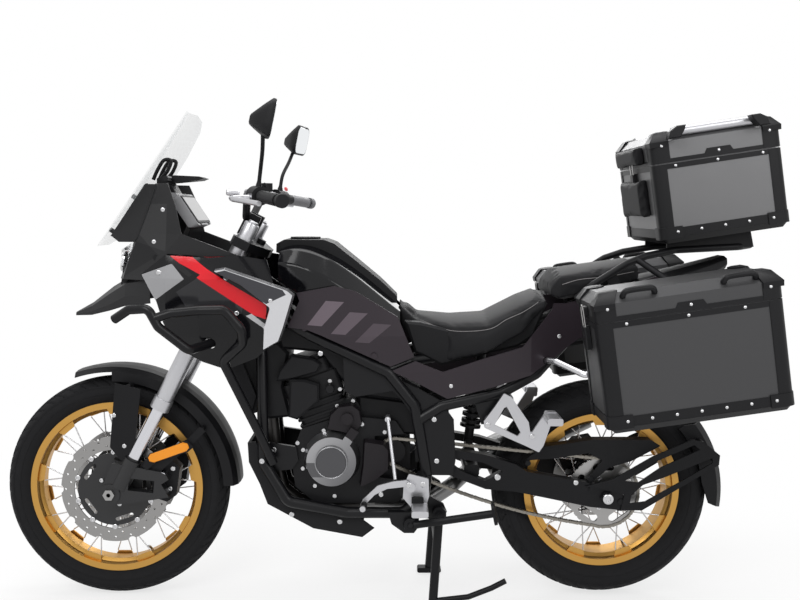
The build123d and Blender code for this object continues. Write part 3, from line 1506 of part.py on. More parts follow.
with BuildPart() as lower_backrest:
    with BuildSketch(casePlane(top_corner, top_tilt, 0, -seat_gap, 60)):
        with Locations((-12, 0)):
            Rectangle(24, 250)
    extrude(amount=110)
lower_backrest.part.label = "lower_backrest"
export_step(lower_backrest.part, "parts/lower_backrest.step")

with BuildPart() as upper_backrest:
    with BuildSketch(casePlane(top_corner, top_tilt, 0, -seat_gap, top_split + 6)):
        with Locations((-14, 0)):
            Rectangle(28, 250)
    extrude(amount=52)
upper_backrest.part.label = "upper_backrest"
export_step(upper_backrest.part, "parts/upper_backrest.step")

with BuildPart() as pannier_rack:
    for points in rack_runs:
        with BuildLine() as run:
            FilletPolyline(*points, radius=18)
        with BuildSketch(Plane(origin=run.line @ 0, z_dir=run.line % 0)):
            Circle(rack_d / 2)
        sweep(path=run.line)
    mirror(about=Plane.XZ)
    add(main_frame.part, mode=Mode.SUBTRACT)
    add(luggage_rack.part, mode=Mode.SUBTRACT)
pannier_rack.part.label = "pannier_rack"
export_step(pannier_rack.part, "parts/pannier_rack.step")

# ---------------------------------------------------------------- guards and foot controls
with BuildPart() as skid_plate:
    for points in (
        ((-385, 483), (-382, 426), (-351, 362), (-329, 303), (-197, 231), (-55, 205), (-55, 214), (-197, 240),
         (-322, 310), (-343, 366), (-374, 428), (-377, 483)),
    ):
        with BuildSketch(sidePlane(-118)):
            with BuildLine():
                Polyline(*points, close=True)
            make_face()
        extrude(amount=-236)
    for y in (-117, 122):
        with BuildSketch(sidePlane(y)):
            with BuildLine():
                Polyline(
                    (-385, 483), (-382, 426), (-351, 362), (-329, 303), (-197, 231), (-55, 205), (-20, 232),
                    (-60, 262), (-190, 286), (-290, 340), (-340, 440), (-362, 486), close=True,
                )
            make_face()
        extrude(amount=5)
    for x, z in ((-338, 430), (-97, 284)):
        with BuildSketch(sidePlane(-142)):
            with Locations((x, z)):
                Circle(9)
        extrude(amount=-26)
        with BuildSketch(sidePlane(116)):
            with Locations((x, z)):
                Circle(9)
        extrude(amount=-26)
    add(main_frame.part, mode=Mode.SUBTRACT)
skid_plate.part.label = "skid_plate"
export_step(skid_plate.part, "parts/skid_plate.step")

with BuildPart() as crash_bars:
    for points in crash_runs:
        with BuildLine() as run:
            FilletPolyline(*points, radius=22)
        with BuildSketch(Plane(origin=run.line @ 0, z_dir=run.line % 0)):
            Circle(crash_d / 2)
        sweep(path=run.line)
    mirror(about=Plane.XZ)
    add(main_frame.part, mode=Mode.SUBTRACT)
crash_bars.part.label = "crash_bars"
export_step(crash_bars.part, "parts/crash_bars.step")


def footPlate():
    with BuildPart() as plate:
        with BuildSketch(sidePlane(-186)):
            with BuildLine():
                Polyline((79, 412), (134, 398), (136, 348), (122, 300), (103, 295), (62, 343), (64, 380), close=True)
            make_face()
            fillet(vertices(), 5)
        extrude(amount=8)
        with BuildSketch(sidePlane(-146)):
            with Locations((116, 384), (112, 318)):
                Circle(11)
        extrude(amount=41)
        # footpeg with its hinge block
        with BuildSketch(sidePlane(-192)):
            with Locations((104, 322)):
                RectangleRounded(34, 30, 6)
        extrude(amount=24)
        with BuildSketch(sidePlane(-214)):
            with Locations((108, 326)):
                RectangleRounded(46, 18, 5)
        extrude(amount=84)
    return plate.part


with BuildPart() as left_foot_plate:
    add(footPlate())
    # gear lever: pivot on the plate, arm forward to the toe peg
    with BuildSketch(sidePlane(-198)):
        with BuildLine():
            Polyline(
                (-60, 315), (-51, 341), (-9, 381), (34, 393), (70, 397), (96, 380), (92, 366), (68, 378), (17, 372),
                (-17, 355), (-43, 328), close=True,
            )
        make_face()
    extrude(amount=8)
    with BuildSketch(sidePlane(-204)):
        with Locations((-50, 326)):
            Circle(8)
    extrude(amount=44)
    with BuildSketch(sidePlane(-190)):
        with Locations((84, 376)):
            Circle(13)
    extrude(amount=20)
    # shift rod up to the engine shaft
    with BuildLine() as run:
        Line((40, -194, 396), (18, -138, 562))
    with BuildSketch(Plane(origin=run.line @ 0, z_dir=run.line % 0)):
        Circle(5)
    sweep(path=run.line)
    with BuildSketch(sidePlane(-105.3)):
        with Locations((18, 556)):
            Circle(8)
    extrude(amount=38)
    add(main_frame.part, mode=Mode.SUBTRACT)
    add(engine.part, mode=Mode.SUBTRACT)
    add(engine_covers.part, mode=Mode.SUBTRACT)
left_foot_plate.part.label = "left_foot_plate"
export_step(left_foot_plate.part, "parts/left_foot_plate.step")

with BuildPart() as right_foot_plate:
    add(mirror(footPlate(), about=Plane.XZ))
    # brake pedal
    with BuildSketch(sidePlane(198)):
        with BuildLine():
            Polyline((-64, 300), (-60, 318), (40, 322), (84, 344), (100, 340), (60, 308), (-20, 302), close=True)
        make_face()
    extrude(amount=-8)
    with BuildSketch(sidePlane(198)):
        with Locations((-52, 309)):
            RectangleRounded(34, 14, 4)
    extrude(amount=-44)
    with BuildSketch(sidePlane(190)):
        with Locations((84, 336)):
            Circle(12)
    extrude(amount=-12)
    add(main_frame.part, mode=Mode.SUBTRACT)
right_foot_plate.part.label = "right_foot_plate"
export_step(right_foot_plate.part, "parts/right_foot_plate.step")

with BuildPart() as passenger_brackets:
    with BuildSketch(sidePlane(-182)):
        with BuildLine():
            Polyline(
                (344, 642), (366, 630), (414, 560), (420, 524), (462, 590), (484, 586), (482, 570), (457, 494),
                (444, 474), (412, 490), (290, 544), (288, 562), (316, 600), close=True,
            )
        make_face()
        fillet(vertices(), 4)
        with BuildLine():
            Polyline((344, 600), (352, 604), (392, 530), (384, 520), (318, 552), close=True)
        make_face(mode=Mode.SUBTRACT)
    extrude(amount=10)
    # folding peg with its hinge
    with BuildSketch(sidePlane(-186)):
        with Locations((474, 578)):
            RectangleRounded(34, 30, 6)
    extrude(amount=22)
    with BuildSketch(sidePlane(-206)):
        with Locations((474, 580)):
            RectangleRounded(42, 20, 6)
    extrude(amount=82)
    for x, z in ((346, 622), (304, 562)):
        with BuildSketch(sidePlane(-148)):
            with Locations((x, z)):
                Circle(10)
        extrude(amount=36)
    mirror(about=Plane.XZ)
    add(main_frame.part, mode=Mode.SUBTRACT)
    add(exhaust.part, mode=Mode.SUBTRACT)
passenger_brackets.part.label = "passenger_brackets"
export_step(passenger_brackets.part, "parts/passenger_brackets.step")

# ---------------------------------------------------------------- rear suspension and drive
arm_in = 101.0
arm_out = 134.0
with BuildPart() as swingarm:
    for side in (-1, 1):
        with BuildSketch(sidePlane(side * (arm_in + arm_out) / 2 + (arm_out - arm_in) / 2)):
            with BuildLine():
                Polyline(
                    (96, 470), (140, 478), (300, 452), (388, 424), (420, 403), (593, 372), (690, 341), (700, 334),
                    (700, 296), (692, 291), (603, 300), (390, 344), (300, 352), (196, 392), (140, 430), (98, 432),
                    close=True,
                )
            make_face()
            with BuildLine():
                Polyline((176, 448), (290, 430), (350, 404), (300, 376), (220, 408), close=True)
            make_face(mode=Mode.SUBTRACT)
        extrude(amount=arm_out - arm_in)
    with BuildSketch(sidePlane(1 - arm_out)):
        with Locations(swing_pivot):
            Circle(20)
    extrude(amount=2 - 2 * arm_out)
    with BuildSketch(sidePlane(-arm_in - 4)):
        with Locations((262, 398)):
            RectangleRounded(44, 34, 10)
    extrude(amount=-2 * arm_in - 8)
    with BuildSketch(sidePlane(-160)):
        with Locations(swing_pivot):
            Circle(13 + seat_gap)
    extrude(amount=-320, mode=Mode.SUBTRACT)
    # axle, nuts and the chain adjusters
    with BuildSketch(sidePlane(-arm_out - 16)):
        with Locations((rear_axle_x, axle_z)):
            Circle(12)
    extrude(amount=-2 * arm_out - 32)
    for y, lift in ((-arm_out, 12), (arm_out, -12)):
        with BuildSketch(sidePlane(y)):
            with Locations((rear_axle_x, axle_z)):
                RegularPolygon(19, 6)
        extrude(amount=lift)
    # shock tower plate under the beam
    with BuildSketch(sidePlane(-20)):
        with BuildLine():
            Polyline((240, 415), (284, 415), (268, 470), (250, 470), close=True)
        make_face()
    extrude(amount=-40)
swingarm.part.label = "swingarm"
export_step(swingarm.part, "parts/swingarm.step")

with BuildPart() as rear_shock:
    # spring over the damper, eye on the swingarm plate, upper mount under the cross tube
    shock_up = Plane(origin=(259, 0, 470 + seat_gap), x_dir=(0, 1, 0), z_dir=(0.142, 0, 0.99))
    with BuildSketch(shock_up.offset(-8)):
        Circle(14)
    extrude(amount=298)
    with BuildSketch(shock_up.offset(36)):
        Circle(31)
    extrude(amount=8)
    with BuildSketch(shock_up.offset(206)):
        Circle(31)
    extrude(amount=14)
    for k in range(8):
        with BuildSketch(shock_up.offset(50 + 19.4 * k)):
            Circle(29)
            Circle(20, mode=Mode.SUBTRACT)
        extrude(amount=10)
        with BuildSketch(shock_up.offset(50 + 19.4 * k)):
            Rectangle(44, 6)
        extrude(amount=22 if k < 7 else 20)
    add(swingarm.part, mode=Mode.SUBTRACT)
    add(main_frame.part, mode=Mode.SUBTRACT)
rear_shock.part.label = "rear_shock"
export_step(rear_shock.part, "parts/rear_shock.step")

rear_pitch_r = 101.0
link_pitch = 15.875
chain_sag = 26.0
with BuildPart() as chain:
    # tangent points of the two straight runs
    gap_x = rear_axle_x - front_sprocket[0]
    gap_z = axle_z - front_sprocket[1]
    span = (gap_x**2 + gap_z**2) ** 0.5
    lean = (rear_pitch_r - front_pitch_r) / span
    ux = gap_x / span
    uz = gap_z / span
    ends = []
    for turn in (1, -1):
        nx = -uz * turn * (1 - lean**2) ** 0.5 - ux * lean
        nz = ux * turn * (1 - lean**2) ** 0.5 - uz * lean
        ends.append(
            (
                (front_sprocket[0] + front_pitch_r * nx, front_sprocket[1] + front_pitch_r * nz),
                (rear_axle_x + rear_pitch_r * nx, axle_z + rear_pitch_r * nz),
            )
        )
    for y in (chain_y + 8, chain_y - 4.5):
        with BuildSketch(sidePlane(y)):
            with BuildLine() as loop:
                Line(ends[0][0], ends[0][1])
                ThreePointArc(ends[0][1], (rear_axle_x + rear_pitch_r * ux, axle_z + rear_pitch_r * uz), ends[1][1])
                ThreePointArc(
                    ends[1][1],
                    ((ends[1][0][0] + ends[1][1][0]) / 2, (ends[1][0][1] + ends[1][1][1]) / 2 - chain_sag),
                    ends[1][0],
                )
                ThreePointArc(
                    ends[1][0],
                    (front_sprocket[0] - front_pitch_r * ux, front_sprocket[1] - front_pitch_r * uz),
                    ends[0][0],
                )
            make_face()
            offset(amount=7.5)
            offset(amount=-15, mode=Mode.SUBTRACT)
        extrude(amount=3.5)
    for sag, (first, last) in zip((0, chain_sag), ends):
        run_l = ((last[0] - first[0]) ** 2 + (last[1] - first[1]) ** 2) ** 0.5
        for k in range(2, 34, 2):
            t = k * link_pitch / run_l
            with BuildSketch(sidePlane(chain_y + 4.5)):
                with Locations(
                    (
                        first[0] + (last[0] - first[0]) * t,
                        first[1] + (last[1] - first[1]) * t - 4 * sag * t * (1 - t),
                    )
                ):
                    Circle(5)
            extrude(amount=9)
chain.part.label = "chain"
export_step(chain.part, "parts/chain.step")

with BuildPart() as chain_guard:
    with BuildSketch(sidePlane(chain_y - 18)):
        with BuildLine():
            Polyline(
                (414, 430), (468, 470), (613, 492), (780, 492), (808, 474), (725, 429), (663, 411), (611, 366),
                (600, 378), (640, 430), (600, 452), (500, 436), close=True,
            )
        make_face()
    extrude(amount=4)
    # top lip over the chain and the two fixings on the swingarm
    with BuildSketch(sidePlane(chain_y - 18)):
        with BuildLine():
            Polyline((468, 470), (613, 492), (780, 492), (780, 488), (613, 488), (470, 466), close=True)
        make_face()
    extrude(amount=-36)
    for x, z in ((424, 424), (606, 376)):
        with BuildSketch(sidePlane(chain_y - 14)):
            with Locations((x, z)):
                Circle(8)
        extrude(amount=16)
    add(swingarm.part, mode=Mode.SUBTRACT)
chain_guard.part.label = "chain_guard"
export_step(chain_guard.part, "parts/chain_guard.step")

# Hugger: arc behind the rear tyre on two slotted arms
hugger_r = 350.0
with BuildPart() as rear_hugger:
    with BuildSketch(crossPlane(rear_axle_x, axle_z)):
        with BuildLine():
            Polyline(
                (-92, 288), (-92, 332), (-70, hugger_r), (70, hugger_r), (92, 332), (92, 288), (88, 288), (88, 330),
                (68, hugger_r - 4), (-68, hugger_r - 4), (-88, 330), (-88, 288), close=True,
            )
        make_face()
    revolve(axis=Axis((rear_axle_x, 0, axle_z), (0, 1, 0)), revolution_arc=98)
    with BuildSketch(sidePlane(-100)):
        with BuildLine():
            Polyline((812, 481), (879, 530), (950, 540), (1010, 449), (1004, 280), (957, 300), (930, 380), (860, 470), close=True)
        make_face()
    extrude(amount=-200, mode=Mode.INTERSECT)
    for y in (-arm_out - seat_gap, arm_out + seat_gap + 5):
        with BuildSketch(sidePlane(y)):
            with BuildLine():
                Polyline(
                    (587, 362), (666, 383), (779, 450), (892, 500), (930, 488), (972, 454), (970, 426), (865, 362), (752, 292),
                    (690, 292), (700, 338), (640, 352), close=True,
                )
            make_face()
            with BuildLine():
                Polyline((700, 378), (790, 436), (898, 484), (914, 470), (802, 418), (740, 374), close=True)
            make_face(mode=Mode.SUBTRACT)
            with BuildLine():
                Polyline((752, 366), (816, 390), (950, 446), (952, 432), (860, 376), (760, 318), (716, 312), (720, 336), close=True)
            make_face(mode=Mode.SUBTRACT)
        extrude(amount=5)
    for a, b in ((-arm_out - 4, -89), (89, arm_out + 4)):
        with BuildSketch(sidePlane(a)):
            with Locations((922, 484), (960, 440)):
                Circle(9)
        extrude(amount=a - b)
    for a, b in ((-arm_out - 4, 6 - arm_out), (arm_out - 6, arm_out + 4)):
        with BuildSketch(sidePlane(a)):
            with Locations((606, 352), (690, 316)):
                Circle(8)
        extrude(amount=a - b)
    add(swingarm.part, mode=Mode.SUBTRACT)
rear_hugger.part.label = "rear_hugger"
export_step(rear_hugger.part, "parts/rear_hugger.step")

with BuildPart() as rear_caliper:
    with BuildSketch(sidePlane(66)):
        with BuildLine():
            Polyline((540, 400), (590, 452), (640, 462), (640, 410), (590, 380), (560, 352), close=True)
        make_face()
    extrude(amount=-46)
    with BuildSketch(sidePlane(rear_disc_y - 6)):
        with Locations((rear_axle_x, axle_z)):
            Circle(126)
    extrude(amount=-disc_t - 12, mode=Mode.SUBTRACT)
    add(swingarm.part, mode=Mode.SUBTRACT)
rear_caliper.part.label = "rear_caliper"
export_step(rear_caliper.part, "parts/rear_caliper.step")

# ---------------------------------------------------------------- stands
with BuildPart() as centre_stand:
    px, pz = stand_pivot
    for side in (1, -1):
        with BuildLine() as run:
            Line((px, -side * stand_half, pz), (px - 18, -side * 160, 12))
        with BuildSketch(Plane(origin=run.line @ 0, z_dir=run.line % 0)):
            Circle(13)
        sweep(path=run.line)
        with BuildSketch(sidePlane(-side * 160 + 16)):
            with Locations((px - 18, 8)):
                RectangleRounded(76, 16, 7)
        extrude(amount=32)
        with BuildSketch(sidePlane(-side * stand_half + 12)):
            with Locations((px, pz)):
                Circle(20)
        extrude(amount=24)
        with BuildSketch(sidePlane(-side * stand_half + 30)):
            with Locations((px, pz)):
                Circle(stand_pin_r + seat_gap)
        extrude(amount=60, mode=Mode.SUBTRACT)
    with BuildSketch(sidePlane(-146)):
        with Locations((px - 5, pz - 80)):
            Circle(12)
    extrude(amount=-292)
    # kick lever on the left leg
    with BuildLine() as run:
        FilletPolyline((px - 14, -160, 30), (px + 84, -170, 46), (px + 150, -174, 74), (px + 190, -176, 96), radius=20)
    with BuildSketch(Plane(origin=run.line @ 0, z_dir=run.line % 0)):
        Circle(8)
    sweep(path=run.line)
centre_stand.part.label = "centre_stand"
export_step(centre_stand.part, "parts/centre_stand.step")

with BuildPart() as side_stand:
    ax, ay, az = prop_pivot
    foot = (ax + 232, ay - 34, az + 44)
    with BuildLine() as run:
        Line((ax + 12, ay - 9, az + 3), foot)
    with BuildSketch(Plane(origin=run.line @ 0, z_dir=run.line % 0)):
        Circle(11)
    sweep(path=run.line)
    with BuildSketch(propPlane(seat_gap)):
        Circle(19)
    extrude(amount=prop_ear)
    with BuildSketch(Plane(origin=foot, z_dir=(0.96, -0.12, 0.2))):
        RectangleRounded(62, 44, 14)
    extrude(amount=8)
    with BuildSketch(propPlane(-30)):
        Circle(19.5)
    extrude(amount=30 + seat_gap, mode=Mode.SUBTRACT)
    with BuildSketch(propPlane(-30)):
        Circle(prop_pin_r + seat_gap)
    extrude(amount=80, mode=Mode.SUBTRACT)
side_stand.part.label = "side_stand"
export_step(side_stand.part, "parts/side_stand.step")
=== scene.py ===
from math import atan2, cos, pi, radians, sin

import bmesh
import bpy
import numpy as np
from mathutils import Matrix, Vector
from mathutils.bvhtree import BVHTree


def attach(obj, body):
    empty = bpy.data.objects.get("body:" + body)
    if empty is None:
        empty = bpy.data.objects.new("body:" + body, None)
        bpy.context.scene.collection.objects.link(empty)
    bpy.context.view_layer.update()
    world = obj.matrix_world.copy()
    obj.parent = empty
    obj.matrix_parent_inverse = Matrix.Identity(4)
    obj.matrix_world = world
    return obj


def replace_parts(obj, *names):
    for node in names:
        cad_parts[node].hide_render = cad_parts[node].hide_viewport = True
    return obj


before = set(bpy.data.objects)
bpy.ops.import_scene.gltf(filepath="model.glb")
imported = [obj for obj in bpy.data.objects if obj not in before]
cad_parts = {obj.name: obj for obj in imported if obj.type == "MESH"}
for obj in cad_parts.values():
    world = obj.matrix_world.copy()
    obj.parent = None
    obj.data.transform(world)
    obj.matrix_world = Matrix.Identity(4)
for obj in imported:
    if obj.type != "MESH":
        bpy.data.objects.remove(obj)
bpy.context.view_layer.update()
print("frame loaded")

# lengths below are millimetres: X runs back, Y to the right-hand side, Z up; the left side is minus Y
mm = 0.001


def added(name, data):
    # a new object in the scene
    obj = bpy.data.objects.new(name, data)
    bpy.context.scene.collection.objects.link(obj)
    return obj


# camera
camera = dict(place=(0.040, -2.953, 1.151), down=5.13, yaw=-0.24, roll=0.23, lens=45.0, sensor=36.0)


def makeCamera():
    # looks along +Y, tipped down a little; the three angles turn a right-handed set of axes
    p, y, r = (radians(camera[k]) for k in ("down", "yaw", "roll"))
    ahead = Vector((-sin(y) * cos(p), cos(y) * cos(p), -sin(p)))
    level = Vector((cos(y), sin(y), 0))
    up = level.cross(ahead)
    right = level * cos(r) + up * sin(r)
    upright = up * cos(r) - level * sin(r)
    data = bpy.data.cameras.new("camera")
    data.lens, data.sensor_width = camera["lens"], camera["sensor"]
    obj = added("camera", data)
    turn = Matrix((right, upright, -ahead)).transposed()
    obj.matrix_world = Matrix.Translation(camera["place"]) @ turn.to_4x4()
    bpy.context.scene.camera = obj


makeCamera()


# finishes
def nodeIn(tree, kind, facts=None, sockets=None):
    # a node with its settings, then the values or links of its sockets
    n = tree.nodes.new(kind)
    for key, value in (facts or {}).items():
        setattr(n, key, value)
    for key, value in (sockets or {}).items():
        value = getattr(value, "socket", value)
        if isinstance(value, bpy.types.NodeSocket):
            tree.links.new(value, n.inputs[key])
        else:
            n.inputs[key].default_value = value
    return n


class Val:
    # a socket that takes part in sums: each operator adds one Math node
    def __init__(self, paint, socket):
        self.paint, self.socket = paint, socket

    def maths(self, kind, *terms):
        # one Math node on the terms
        n = self.paint.node("ShaderNodeMath", dict(operation=kind), dict(enumerate(terms)))
        return Val(self.paint, n.outputs[0])

    def __rsub__(self, other):
        return self.maths("SUBTRACT", other, self)


# the other operators, and low and high, take the value itself first
operators = dict(
    __add__="ADD", __radd__="ADD", __sub__="SUBTRACT", __mul__="MULTIPLY", __rmul__="MULTIPLY",
    __gt__="GREATER_THAN", __lt__="LESS_THAN", low="MINIMUM", high="MAXIMUM",
)
for method, kind in operators.items():
    setattr(Val, method, lambda self, other, kind=kind: self.maths(kind, self, other))

grainDepth = 0.0004  # metres


class Paint:
    # one material: a principled shader and the nodes that feed it
    def __init__(self, name, color, rough, metal, specular=0.5, **more):
        self.mat = bpy.data.materials.new(name)
        self.mat.use_nodes = True
        self.tree = self.mat.node_tree
        self.shader = self.tree.nodes["Principled BSDF"]
        self.set("Base Color", (*color, 1.0))
        self.set("Roughness", rough)
        self.set("Metallic", metal)
        self.set("Specular IOR Level", specular)
        for key, value in more.items():
            self.set(key.replace("_", " "), value)
        self.mat.diffuse_color = (*color, 1.0)

    def set(self, name, value):
        # a socket of the shader gets a value or a link
        socket = self.shader.inputs[name]
        value = getattr(value, "socket", value)
        if isinstance(value, bpy.types.NodeSocket):
            self.tree.links.new(value, socket)
        else:
            socket.default_value = value
        return self

    def node(self, kind, facts=None, sockets=None):
        # a node of this material
        return nodeIn(self.tree, kind, facts, sockets)

    def place(self):
        # object coordinates as three values, in millimetres
        coords = self.node("ShaderNodeTexCoord").outputs["Object"]
        parts = self.node("ShaderNodeSeparateXYZ", None, {0: coords})
        return [Val(self, parts.outputs[i]) * 1000.0 for i in range(3)]

    def noise(self, scale, detail=2.0):
        # a soft random value from 0 to 1 that changes from place to place
        coords = self.node("ShaderNodeTexCoord").outputs["Object"]
        n = self.node("ShaderNodeTexNoise", None, {"Vector": coords, "Scale": scale, "Detail": detail})
        return Val(self, n.outputs[0])

    def grain(self, scale, strength):
        # fine noise lifts the surface by a share of the grain's depth
        sockets = {"Height": self.noise(scale), "Strength": strength, "Distance": grainDepth}
        return self.set("Normal", self.node("ShaderNodeBump", None, sockets).outputs[0])

    def vary(self, scale, low, high):
        # roughness drifts softly between two values: low + noise times their difference
        return self.set("Roughness", self.noise(scale, 3.0) * (high - low) + low)

    def tint(self, mask, color):
        # a second colour where the mask is 1
        now = self.shader.inputs["Base Color"]
        first = now.links[0].from_socket if now.links else tuple(now.default_value)
        n = self.node("ShaderNodeMix", dict(data_type="RGBA"), {0: mask, 6: first, 7: (*color, 1.0)})
        return self.set("Base Color", n.outputs[2])

    def swap(self, mask, name, value):
        # a second number for one socket: mask times it, plus what is left of 1 times the first
        now = self.shader.inputs[name]
        first = Val(self, now.links[0].from_socket) if now.links else now.default_value
        return self.set(name, mask * value + (1 - mask) * first)

    def patch(self, mask, color, metal=None, rough=None):
        # a second look where the mask is 1: colour, then metal and roughness where given
        self.tint(mask, color)
        for name, value in (("Metallic", metal), ("Roughness", rough)):
            if value is not None:
                self.swap(mask, name, value)
        return self

    def panel(self, corners):
        # 1 inside a convex outline in side view: the smallest distance to any of its edges is above zero
        x, _, z = self.place()
        ends = corners[1:] + corners[:1]
        turn = sum(a[0] * b[1] - b[0] * a[1] for a, b in zip(corners, ends))
        inside = None
        for (ax, az), (bx, bz) in zip(corners, ends):
            if turn < 0:
                ax, az, bx, bz = bx, bz, ax, az
            run = ((bx - ax) ** 2 + (bz - az) ** 2) ** 0.5
            kx, kz = -(bz - az) / run, (bx - ax) / run
            edge = x.maths("MULTIPLY_ADD", x, kx, -kx * ax - kz * az)
            edge = z.maths("MULTIPLY_ADD", z, kz, edge)
            inside = edge if inside is None else inside.low(edge)
        return inside > 0.0


def radiusFrom(paint, centre):
    # distance in side view from an axle or a round cover's middle: root of the sum of two squares
    px, _, pz = paint.place()
    dx, dz = px - centre[0], pz - centre[1]
    return (dx * dx + dz * dz).maths("SQRT", dx * dx + dz * dz)


frontAxle, rearAxle = (-786.0, 329.3), (650.0, 329.3)
forkLean = radians(27.2)

# finish: colour, roughness, metal, specular level where it is not the usual one
plain = dict(
    rubber=((0.012, 0.012, 0.013), 0.70, 0.0, 0.12),
    gold=((0.52, 0.29, 0.075), 0.36, 1.0),
    black=((0.007, 0.007, 0.008), 0.40, 0.0, 0.16),
    frame=((0.005, 0.005, 0.006), 0.30, 0.0, 0.22),
    grey=((0.26, 0.26, 0.27), 0.40, 0.9),
    castBlack=((0.009, 0.009, 0.010), 0.44, 0.0, 0.16),
    steel=((0.34, 0.335, 0.33), 0.3, 1.0),
    satin=((0.50, 0.50, 0.52), 0.34, 0.85),
    chrome=((0.72, 0.72, 0.74), 0.08, 1.0),
    plastic=((0.011, 0.011, 0.012), 0.50, 0.0, 0.14),
    guard=((0.007, 0.007, 0.008), 0.36, 0.0, 0.16),
    fairing=((0.018, 0.018, 0.019), 0.38, 0.0, 0.18),
    gloss=((0.004, 0.004, 0.005), 0.10, 0.0, 0.3),
    purple=((0.026, 0.020, 0.025), 0.30, 0.1, 0.25),
    glass=((0.44, 0.47, 0.48), 0.06, 0.0, 0.25),
    lens=((0.92, 0.94, 0.95), 0.04, 0.0),
    lampMirror=((0.8, 0.8, 0.82), 0.12, 1.0),
    leather=((0.010, 0.010, 0.011), 0.58, 0.0, 0.13),
    thread=((0.22, 0.21, 0.21), 0.8, 0.0),
    caseGrey=((0.145, 0.145, 0.148), 0.40, 0.6, 0.2),
    caseDark=((0.062, 0.062, 0.064), 0.40, 0.6, 0.2),
    caseTrim=((0.008, 0.008, 0.009), 0.44, 0.0, 0.18),
    red=((0.62, 0.012, 0.02), 0.25, 0.0),
    amber=((0.78, 0.27, 0.015), 0.2, 0.0, 0.3),
    tail=((0.42, 0.006, 0.008), 0.15, 0.0),
    mirrorGlass=((0.80, 0.82, 0.84), 0.03, 1.0),
    bolt=((0.55, 0.55, 0.56), 0.25, 1.0),
    exhaust=((0.20, 0.20, 0.20), 0.35, 1.0),
    display=((0.008, 0.010, 0.014), 0.06, 0.0),
    link=((0.24, 0.225, 0.20), 0.32, 1.0),
    disc=((0.30, 0.295, 0.29), 0.28, 1.0),
    frontHub=((0.008, 0.008, 0.009), 0.4, 0.0, 0.2),
    rearHub=((0.008, 0.008, 0.009), 0.4, 0.0, 0.2),
    fork=((0.50, 0.50, 0.52), 0.34, 0.85),
    shroud=((0.004, 0.004, 0.005), 0.10, 0.0, 0.26),
    wing=((0.60, 0.60, 0.62), 0.26, 0.9, 0.3),
    sidePanel=((0.026, 0.020, 0.025), 0.30, 0.1, 0.25),
    engineCover=((0.34, 0.34, 0.35), 0.28, 0.9, 0.2),
    instrument=((0.010, 0.010, 0.011), 0.5, 0.0, 0.16),
    rack=((0.007, 0.007, 0.008), 0.4, 0.0, 0.16),
    control=((0.010, 0.010, 0.011), 0.5, 0.0, 0.16),
)
# finish: sockets of the shader that only it sets
extras = dict(
    glass=dict(Alpha=0.15),
    lens=dict(Transmission_Weight=0.95, IOR=1.3, Alpha=0.45),
    red=dict(Coat_Weight=0.6, Coat_Roughness=0.06),
    tail=dict(Coat_Weight=0.8, Coat_Roughness=0.05),
    display=dict(Coat_Weight=1.0, Coat_Roughness=0.03),
)
# finish: scale, lowest and highest roughness
drifts = dict(
    rubber=(60, 0.66, 0.84), gold=(25, 0.30, 0.44), black=(30, 0.36, 0.5), steel=(40, 0.24, 0.38),
    plastic=(35, 0.48, 0.6), guard=(35, 0.4, 0.52), fairing=(18, 0.36, 0.46), caseGrey=(14, 0.38, 0.5),
    caseDark=(14, 0.38, 0.5), exhaust=(12, 0.28, 0.42), satin=(15, 0.28, 0.4),
)
# finish: scale, strength
grains = dict(
    grey=(900, 0.12), castBlack=(700, 0.2), plastic=(1500, 0.12), caseGrey=(1200, 0.1),
    caseDark=(1200, 0.1), caseTrim=(1500, 0.15), leather=(420, 0.3),
)
# finish: fields of a second colour as (corners in side view, colour)
fields = dict(
    # grey patch, black edge and lower field, the two parts of the red stripe, grey end
    shroud=(
        ([(-672, 969), (-581, 1001), (-543, 960), (-632, 898)], (0.30, 0.30, 0.31)),
        ([(-600, 1012), (-584, 1021), (-560, 1004), (-520, 972), (-530, 966)], (0.012, 0.012, 0.013)),
        ([(-566, 924), (-502, 965), (-380, 883), (-383, 866), (-526, 866)], (0.022, 0.022, 0.024)),
        ([(-600, 1022), (-528, 1024), (-479, 988), (-506, 965), (-560, 1003)], (0.62, 0.012, 0.02)),
        ([(-506, 965), (-479, 988), (-316, 890), (-316, 850), (-350, 862)], (0.62, 0.012, 0.02)),
        ([(-372, 860), (-356, 866), (-318, 836), (-318, 822)], (0.42, 0.42, 0.43)),
    ),
    # painted light on the facet over the lamp, painted shade on the one under it; the fairing's own colour is
    # the plain one
    fairing=(
        ([(-600, 1166), (-653, 1166), (-687, 1080), (-655, 1048), (-604, 1034)], (0.030, 0.030, 0.031)),
        ([(-604, 1034), (-655, 1048), (-688, 1076), (-760, 1040), (-740, 958)], (0.011, 0.011, 0.012)),
    ),
    # three slanted bars, each a little darker
    sidePanel=(
        ([(-206, 832), (-166, 829), (-104, 896), (-154, 900)], (0.125, 0.100, 0.118)),
        ([(-140, 808), (-100, 805), (-38, 864), (-88, 868)], (0.095, 0.076, 0.090)),
        ([(-74, 784), (-34, 781), (28, 832), (-22, 836)], (0.065, 0.052, 0.062)),
    ),
)
m = {}


def makeFinishes():
    # the plain finishes, then drifts of roughness, grain and the fields of second colours on them
    for name, look in plain.items():
        m[name] = Paint(name + "Finish", *look, **extras.get(name, {}))
    for name, (scale, low, high) in drifts.items():
        m[name].vary(scale, low, high)
    for name, (scale, strength) in grains.items():
        m[name].grain(scale, strength)
    for name, parts in fields.items():
        for corners, color in parts:
            m[name].tint(m[name].panel(corners), color)


# second looks below are (colour, metal, roughness)
wheelLook = dict(
    carrierR=109.5, carrier=((0.008, 0.008, 0.009), 0.0, 0.42),
    hubR=dict(front=76.0, rear=92.0), spoke=((0.55, 0.55, 0.56), 1.0, 0.25),
)


